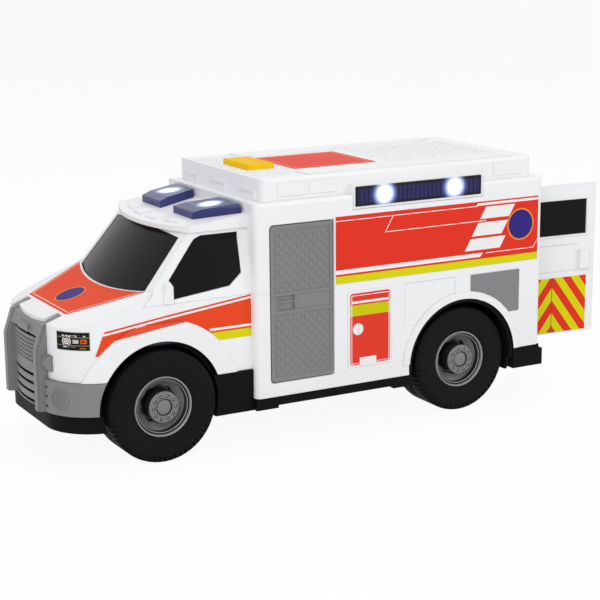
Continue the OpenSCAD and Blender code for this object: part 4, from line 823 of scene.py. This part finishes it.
bpy.ops.object.mode_set(mode="EDIT")
mesh = bmesh.from_edit_mesh(tyre.data)
bpy.ops.mesh.select_all(action="DESELECT")
for face in mesh.faces:
    middle = face.calc_center_median()
    radius = math.hypot(middle.x - FRONT_X, middle.z - AXLE_Z) / MM
    column = int(turn_of(middle) / (360 / (LUGS * 3)))
    depth = (middle.y + WHEEL_FACE) / MM
    face.select_set(radius > SHOULDER_R and column % 3 == 0 and not 10.6 < depth < 13.4)
mesh.select_flush_mode()
bmesh.update_edit_mesh(tyre.data)
bpy.ops.mesh.extrude_region_shrink_fatten(TRANSFORM_OT_shrink_fatten={"value": -LUG_DEPTH * MM})
bpy.ops.object.mode_set(mode="OBJECT")
print("tyre faces:", len(tyre.data.polygons))

# %% [markdown]
# Rubber is matt, and its side has faint rings from the mould. A wave of the distance from the axle makes
# them, and since each axle sits at its own place, every wheel gets that distance from its own centre.

# %% Tyre rubber


def from_axle(tree, axle_x):
    x, y, z = places(tree)
    across = minus(tree, x, (axle_x - FRONT_X) / MM)
    over = minus(tree, z, AXLE_Z / MM)
    return length(tree, across, over), across, over, y


def rubber(name, axle_x):
    made, tree = start(name)
    away = from_axle(tree, axle_x)[0]
    rings = calc(tree, "SINE", times(tree, away, 5.0))
    side = between(tree, away, 18.0, 26.0)
    relief = times(tree, times(tree, rings, side), 0.12)
    colour = lay(tree, (0.006, 0.005, 0.006), times(tree, side, 0.35), (0.0085, 0.007, 0.0085))
    return dress(made, colour, 0.6, uneven=0.2, bump=0.15, edge=0.2, shine=0.08, relief=relief)


front_rubber = rubber("front_rubber", FRONT_X)
rear_rubber = rubber("rear_rubber", REAR_X)
SIDE_STEP = Vector((0, 2 * WHEEL_FACE - TYRE_WIDTH * MM, 0))
AXLE_STEP = Vector((REAR_X - FRONT_X, 0, 0))
tyres = {
    "front_tyre_left": tyre,
    "front_tyre_right": copy_of(tyre, "front_tyre_ring_right", SIDE_STEP),
    "rear_tyre_left": copy_of(tyre, "rear_tyre_ring_left", AXLE_STEP),
    "rear_tyre_right": copy_of(tyre, "rear_tyre_ring_right", SIDE_STEP + AXLE_STEP),
}
for node, piece in tyres.items():
    axle = node.split("_")[0]
    piece.data.materials.append(front_rubber if axle == "front" else rear_rubber)
    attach(piece, axle + "_wheels")
    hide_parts(node)
print("tyres:", sorted(tyres))

# %% [markdown]
# A wheel hub is a deep dish: two bright lip rings, a cone, and a drum that stands up in the middle behind a
# dark gap. It is one spun section. The gap's edge is scalloped, which comes from scaling its points, column
# by column, away from the axle. The lugs are modelled once, copied round the drum's face and joined to it.

# %% Wheel hubs
LUG_COUNT = 10
LUG_RING = 6.2
DRUM_R = 8.3
GAP_R = 9.4
SCALLOP = 0.9
HUB_COLUMNS = 120
hub_section = [
    (0, -0.5), (2.0, -0.3), (3.6, 0.2), (4.2, 0.9), (4.5, 0.8), (4.6, 0.1), (4.8, 0), (7.9, 0),
    (DRUM_R, 0.35), (DRUM_R + 0.1, 9.6), (GAP_R, 9.6), (GAP_R, 7.5), (13.3, 5.3), (13.6, 5.0), (13.8, 2.2),
    (14.1, 1.9), (14.4, 2.2), (14.6, 3.2), (14.9, 3.2), (15.1, 0.9), (15.5, 0.5), (15.8, 0.6), (16.0, 1.2),
    (16.0, 22.8), (14.2, 22.8), (14.2, 11.0), (3.5, 11.0), (3.5, 24.0), (1.55, 24.0), (1.55, 7.4), (0, 7.4),
]
hub = spin_section("front_hub_dish_left", hub_section, HUB_COLUMNS, hub_centre)
PER_LOBE = HUB_COLUMNS // LUG_COUNT
for step in range(1, PER_LOBE // 2 + 1):
    bpy.ops.object.mode_set(mode="EDIT")
    mesh = bmesh.from_edit_mesh(hub.data)
    bpy.ops.mesh.select_all(action="DESELECT")
    for corner in mesh.verts:
        column = round(turn_of(corner.co) / (360 / HUB_COLUMNS)) % PER_LOBE
        radius = math.hypot(corner.co.x - FRONT_X, corner.co.z - AXLE_Z) / MM
        corner.select_set(abs(radius - GAP_R) < 0.02 and column in (step, PER_LOBE - step))
    mesh.select_flush_mode()
    bmesh.update_edit_mesh(hub.data)
    reach = 1 + SCALLOP * math.sin(math.pi * step / PER_LOBE) / GAP_R
    bpy.ops.transform.resize(value=(reach, 1, reach), center_override=hub_centre)
    bpy.ops.object.mode_set(mode="OBJECT")
lug_section = [
    (0, -0.45), (0.45, -0.4), (0.55, -0.05), (0.95, -0.05), (1.05, -0.4), (1.3, -0.45), (1.5, -0.3),
    (1.6, 0.2),
]
lug = spin_section("lug", lug_section, 16, hub_centre + Vector((LUG_RING * MM, 0, 0)))
lugs = [lug]
for i in range(1, LUG_COUNT):
    twin = copy_of(lug, "lug_copy")
    turn = Matrix.Rotation(2 * math.pi * i / LUG_COUNT, 4, "Y")
    twin.data.transform(Matrix.Translation(hub_centre) @ turn @ Matrix.Translation(-hub_centre))
    lugs.append(twin)
join([hub, *lugs])
bpy.ops.object.shade_smooth_by_angle(angle=SMOOTH_ANGLE)
print("hub faces:", len(hub.data.polygons))

# %% [markdown]
# One grey plastic covers the hub. Its material darkens the deep places, where little light comes, and the
# groove in each lug, as painted shade, with a thin painted shade ring round each lug. The outer lip and the
# lug faces are painted lighter, as painted highlight. To find a lug, the angle round the axle is folded into
# one lug's share of the turn.

# %% Hub plastic and the four hubs


def hub_plastic(name, axle_x):
    made, tree = start(name)
    away, across, over, y = from_axle(tree, axle_x)
    inward = minus(tree, WHEEL_FACE / MM, size_of(tree, y))
    shares = times(tree, calc(tree, "ARCTAN2", over, across), LUG_COUNT / (2 * math.pi))
    beside = minus(tree, calc(tree, "FRACT", calc(tree, "ADD", shares, LUG_COUNT + 0.5)), 0.5)
    arc = times(tree, beside, LUG_RING * 2 * math.pi / LUG_COUNT)
    from_lug = length(tree, arc, minus(tree, away, LUG_RING))
    outer_side = under(tree, inward, 10.5)
    deep = either(tree, both(tree, between(tree, away, 8.0, 8.6), above(tree, inward, 0.8)),
                  both(tree, between(tree, away, 8.0, 10.4), above(tree, inward, 7.6)),
                  both(tree, between(tree, away, 14.3, 15.05), above(tree, inward, 2.05)))
    shade = either(tree, both(tree, between(tree, away, 4.15, 4.68), above(tree, inward, 0.12)),
                   both(tree, between(tree, away, 13.5, 13.85), above(tree, inward, 2.3)))
    # The outer lip and the lug faces are painted lighter, as painted highlight, and a ring round each lug is
    # painted shade.
    colour = lay(tree, (0.19, 0.19, 0.193), above(tree, away, 13.78), (0.3, 0.3, 0.305))
    colour = lay(tree, colour, under(tree, from_lug, 1.5), (0.3, 0.3, 0.305))
    colour = lay(tree, colour, between(tree, from_lug, 1.5, 1.75), (0.11, 0.11, 0.112))
    colour = lay(tree, colour, shade, (0.03, 0.03, 0.031))
    bore = between(tree, from_lug, 0.5, 1.05)
    dark = both(tree, either(tree, deep, bore), outer_side)
    colour = lay(tree, colour, dark, (0.01, 0.0095, 0.0105))
    return dress(made, colour, 0.38, uneven=0.06, bump=0.08, edge=0.2, shine=0.4)


front_hub = hub_plastic("front_hub_grey", FRONT_X)
rear_hub = hub_plastic("rear_hub_grey", REAR_X)
hubs = {
    "front_hub_left": hub,
    "front_hub_right": copy_of(hub, "front_hub_dish_right", flip=True),
    "rear_hub_left": copy_of(hub, "rear_hub_dish_left", AXLE_STEP),
    "rear_hub_right": copy_of(hub, "rear_hub_dish_right", AXLE_STEP, flip=True),
}
for node, piece in hubs.items():
    axle = node.split("_")[0]
    piece.data.materials.append(front_hub if axle == "front" else rear_hub)
    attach(piece, axle + "_wheels")
    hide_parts(node)
print("hubs:", sorted(hubs))

# %% [markdown]
# Behind the lip of each rear arch sits the black edge of the wheel well. It is a spun ring too, but only its
# upper part is wanted, so Bisect cuts it at the sill and closes the cut. A mirrored copy serves the other
# side.

# %% Rear arch rims
SILL_Z = 26.4
rim_centre = Vector((REAR_X, 0, AXLE_Z))
rim_section = [(33.2, -53.6), (35.1, -53.9), (35.2, -53.7), (35.2, -50.8), (33.2, -50.8), (33.2, -53.6)]
rim = spin_section("rear_arch_rims", rim_section, 96, rim_centre)
bpy.ops.object.mode_set(mode="EDIT")
bpy.ops.mesh.select_all(action="SELECT")
bpy.ops.mesh.bisect(plane_co=(0, 0, SILL_Z * MM), plane_no=(0, 0, 1), use_fill=True, clear_inner=True)
bpy.ops.object.mode_set(mode="OBJECT")
mirrored = copy_of(rim, "rim_copy", flip=True)
gather("rear_arch_rims", [rim, mirrored], black_plastic, "vehicle")

# %% [markdown]
# A row of small domed rivets runs along the foot of the box. One dome is spun, laid on the wall, and copied
# along both sides. All the copies are joined, since they are one moulded row on the real shell.

# %% Sill rivets
RIVET_Z = 29.3
RIVET_START, RIVET_PITCH, RIVET_COUNT = 57.0, 10.6, 9
WALL_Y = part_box("side_label_left")[1].y
dome = [(0, -0.45), (0.35, -0.4), (0.62, -0.22), (0.75, 0.05), (0.75, 0.3)]
rivet = spin_section("sill_rivets", dome, 14, Vector((FRONT_X, WALL_Y, 0)))
copies = []
for i in range(RIVET_COUNT):
    shift = Vector(((RIVET_START + RIVET_PITCH * i) * MM, 0, RIVET_Z * MM))
    copies += [copy_of(rivet, "rivet_copy", shift, flip) for flip in (False, True)]
bpy.data.objects.remove(rivet)
gather("sill_rivets", copies, white_shell, "vehicle")

# %% [markdown]
# The side door has round corners, and so has its opening. A small corner piece fills each sharp corner of the
# opening: its outline is a chain with an arc in it, closed to a face and pulled out to the wall's thickness.

# %% Round corners of the door opening
DOOR_GAP = 0.4 * MM
ARC_R = 2.4 * MM
DEPTH = Vector((0, 1.6 * MM, 0))
corner = Vector((door_low.x - DOOR_GAP, WALL_Y, door_high.z + DOOR_GAP))
turns = [math.radians(90 + 11.25 * i) for i in range(9)]
arc = [corner + Vector((ARC_R + ARC_R * math.cos(t), 0, -ARC_R + ARC_R * math.sin(t))) for t in turns]
upper = draw_chain("door_opening_corners", [corner, *arc, corner])
bpy.ops.mesh.remove_doubles(threshold=0.001 * MM)
bpy.ops.mesh.edge_face_add()
bpy.ops.mesh.extrude_region_move(TRANSFORM_OT_translate={"value": DEPTH})
bpy.ops.mesh.select_all(action="SELECT")
bpy.ops.mesh.normals_make_consistent(inside=False)
bpy.ops.object.mode_set(mode="OBJECT")
MIDDLE_Z = (door_low.z + door_high.z) / 2
lower = copy_of(upper, "corner_copy")
lower.data.transform(Matrix.Translation((0, 0, 2 * MIDDLE_Z)) @ Matrix.Scale(-1, 4, (0, 0, 1)))
lower.data.flip_normals()
corners = [upper, lower]
corners += [copy_of(piece, "corner_copy", flip=True) for piece in (upper, lower)]
gather("door_opening_corners", corners, white_shell, "vehicle")

# %% [markdown]
# The roof button is modelled again, since the real one has soft edges and a shallow dish in its top. It grows
# from its hidden flange: Inset and Extrude raise the cap, Bevel softens the rim, and two more insets sink the
# dish. A small helper picks the topmost face each time.

# %% Roof button


def pick_top(piece):
    """Opens a piece for editing with only its topmost face selected."""
    bpy.ops.object.mode_set(mode="EDIT")
    mesh = bmesh.from_edit_mesh(piece.data)
    bpy.ops.mesh.select_all(action="DESELECT")
    max(mesh.faces, key=lambda face: face.calc_center_median().z).select_set(True)
    bmesh.update_edit_mesh(piece.data)


FLANGE, FLANGE_T = 1.2 * MM, 1.4 * MM
RIM_ROUND, RIM_WIDTH, DISH_DEPTH = 0.7 * MM, 2.4 * MM, 0.4 * MM
low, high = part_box("roof_button")
bpy.ops.object.select_all(action="DESELECT")
bpy.ops.mesh.primitive_cube_add(size=1, location=((low.x + high.x) / 2, 0, low.z + FLANGE_T / 2))
cap = bpy.context.object
cap.name = "button_cap"
cap.scale = (high.x - low.x, high.y - low.y, FLANGE_T)
bpy.ops.object.transform_apply(location=True, rotation=True, scale=True)
pick_top(cap)
bpy.ops.mesh.inset(thickness=FLANGE)
bpy.ops.mesh.extrude_region_move(TRANSFORM_OT_translate={"value": (0, 0, high.z - low.z - FLANGE_T)})
bpy.ops.mesh.bevel(offset=RIM_ROUND, segments=3, affect="EDGES")
pick_top(cap)
bpy.ops.mesh.inset(thickness=RIM_WIDTH)
bpy.ops.mesh.inset(thickness=DISH_DEPTH, depth=-DISH_DEPTH)
bpy.ops.object.mode_set(mode="OBJECT")
bpy.ops.object.shade_smooth_by_angle(angle=SMOOTH_ANGLE)
cap.data.materials.append(dress(start("yellow_button")[0], (0.9, 0.55, 0.006), 0.5, uneven=0.03, edge=0.9,
                                shine=0.06))
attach(cap, "button")
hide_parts("roof_button")
print("button faces:", len(cap.data.polygons))

# %% [markdown]
# Four surfaces carry small raised bars, and all come from one stud: a flat plate with its top drawn in by an
# inset. On the roof and in the panels of the side doors it is copied on a grid, with a quarter turn for every
# second one. Stretched and set upright, it makes the ribs of the round lamps and the flutes of the light
# bars.

# %% Studs, ribs and flutes
ROOF_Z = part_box("roof_label")[0].z
STUD_LENGTH, STUD_WIDTH, STUD_HEIGHT = 2.6, 1.0, 0.5
bpy.ops.object.select_all(action="DESELECT")
bpy.ops.mesh.primitive_cube_add(size=1, location=(0, 0, 0))
stud = bpy.context.object
stud.scale = (STUD_LENGTH * MM, STUD_WIDTH * MM, STUD_HEIGHT * MM)
bpy.ops.object.transform_apply(scale=True)
pick_top(stud)
bpy.ops.mesh.inset(thickness=0.25 * MM, depth=0.15 * MM)
bpy.ops.object.mode_set(mode="OBJECT")
GRIP_PITCH = 3.4
FIELDS = ((155.0, 222.0, -8, 8), (62.5, 67.5, -11, 11), (69.3, 91.5, -11, -6), (69.3, 91.5, 6, 11),
          (89.0, 91.5, -5, 5))
copies = []
for x0, x1, first, last in FIELDS:
    for i in range(int((x1 - x0) / GRIP_PITCH) + 1):
        for j in range(first, last + 1):
            twin = copy_of(stud, "stud_copy")
            turn = math.radians(45 if (i + j) % 2 else -45)
            twin.data.transform(Matrix.Rotation(turn, 4, "Z"))
            place = (FRONT_X + (x0 + i * GRIP_PITCH) * MM, j * GRIP_PITCH * MM, ROOF_Z)
            twin.data.transform(Matrix.Translation(place))
            copies.append(twin)
gather("roof_grips", copies, white_shell, "vehicle")


def bar(place, along, out, stretch, flip):
    """A stud with its long side along one direction and its top facing another, stretched three ways."""
    piece = copy_of(stud, "bar_copy")
    facing = Matrix((along, out.cross(along), out)).transposed().to_4x4()
    piece.data.transform(Matrix.Translation(place) @ facing @ Matrix.Diagonal((*stretch, 1)))
    if flip:
        mirror(piece)
    return piece


UP, LEFT = Vector((0, 0, 1)), Vector((0, -1, 0))
PANEL_SINK = 0.4 * MM
PANEL_Y = door_low.y + PANEL_SINK
for side, flip in (("left", False), ("right", True)):
    studs = []
    for j in (*range(TREAD_COUNT), *range(TREAD_UPPER, TREAD_UPPER + TREAD_COUNT)):
        for i in range(TREAD_COUNT):
            place = Vector((FRONT_X + (TREAD_X + (i + 0.5) * TREAD_CELL) * MM, PANEL_Y,
                            (TREAD_Z + (j + 0.5) * TREAD_CELL) * MM))
            slant = Vector((1, 0, 1 if (i + j) % 2 else -1)).normalized()
            studs.append(bar(place, slant, LEFT, (1, 1, 0.8), flip))
    gather("door_tread_" + side, studs, grey_door, side + "_door")

LAMP_R, LAMP_TURN, RIB_PITCH = 4.1, math.radians(31), 1.25
BEND_X, BEND_Y, BEND_R, LAMP_Z = -26.0, -22.25, 28.5, 37.6
ribs = []
for step in range(-2, 3):
    aside = step * RIB_PITCH
    turn = LAMP_TURN + aside / BEND_R
    out = Vector((-math.cos(turn), -math.sin(turn), 0))
    place = Vector((FRONT_X + BEND_X * MM, BEND_Y * MM, LAMP_Z * MM)) + out * BEND_R * MM
    tall = 1.8 * math.sqrt(LAMP_R ** 2 - aside ** 2) / STUD_LENGTH
    ribs += [bar(place, UP, out, (tall, 0.6, 0.8), flip) for flip in (False, True)]
gather("lamp_ribs", ribs, grey_guard, "vehicle")

LENS_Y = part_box("lightbar_lens_left")[0].y
(flute_x, flute_z), (flute_end, flute_top) = BAR_WINDOW
flutes = []
for n in range(int(flute_x / FLUTE_PITCH) + 1, int(flute_end / FLUTE_PITCH)):
    place = Vector((FRONT_X + (n + 0.25) * FLUTE_PITCH * MM, LENS_Y, (flute_z + flute_top) / 2 * MM))
    stretch = ((flute_top - flute_z) / STUD_LENGTH, 1.4, 0.5)
    flutes += [bar(place, UP, LEFT, stretch, flip) for flip in (False, True)]
gather("lightbar_flutes", flutes, bar_blue, "vehicle")
bpy.data.objects.remove(stud)
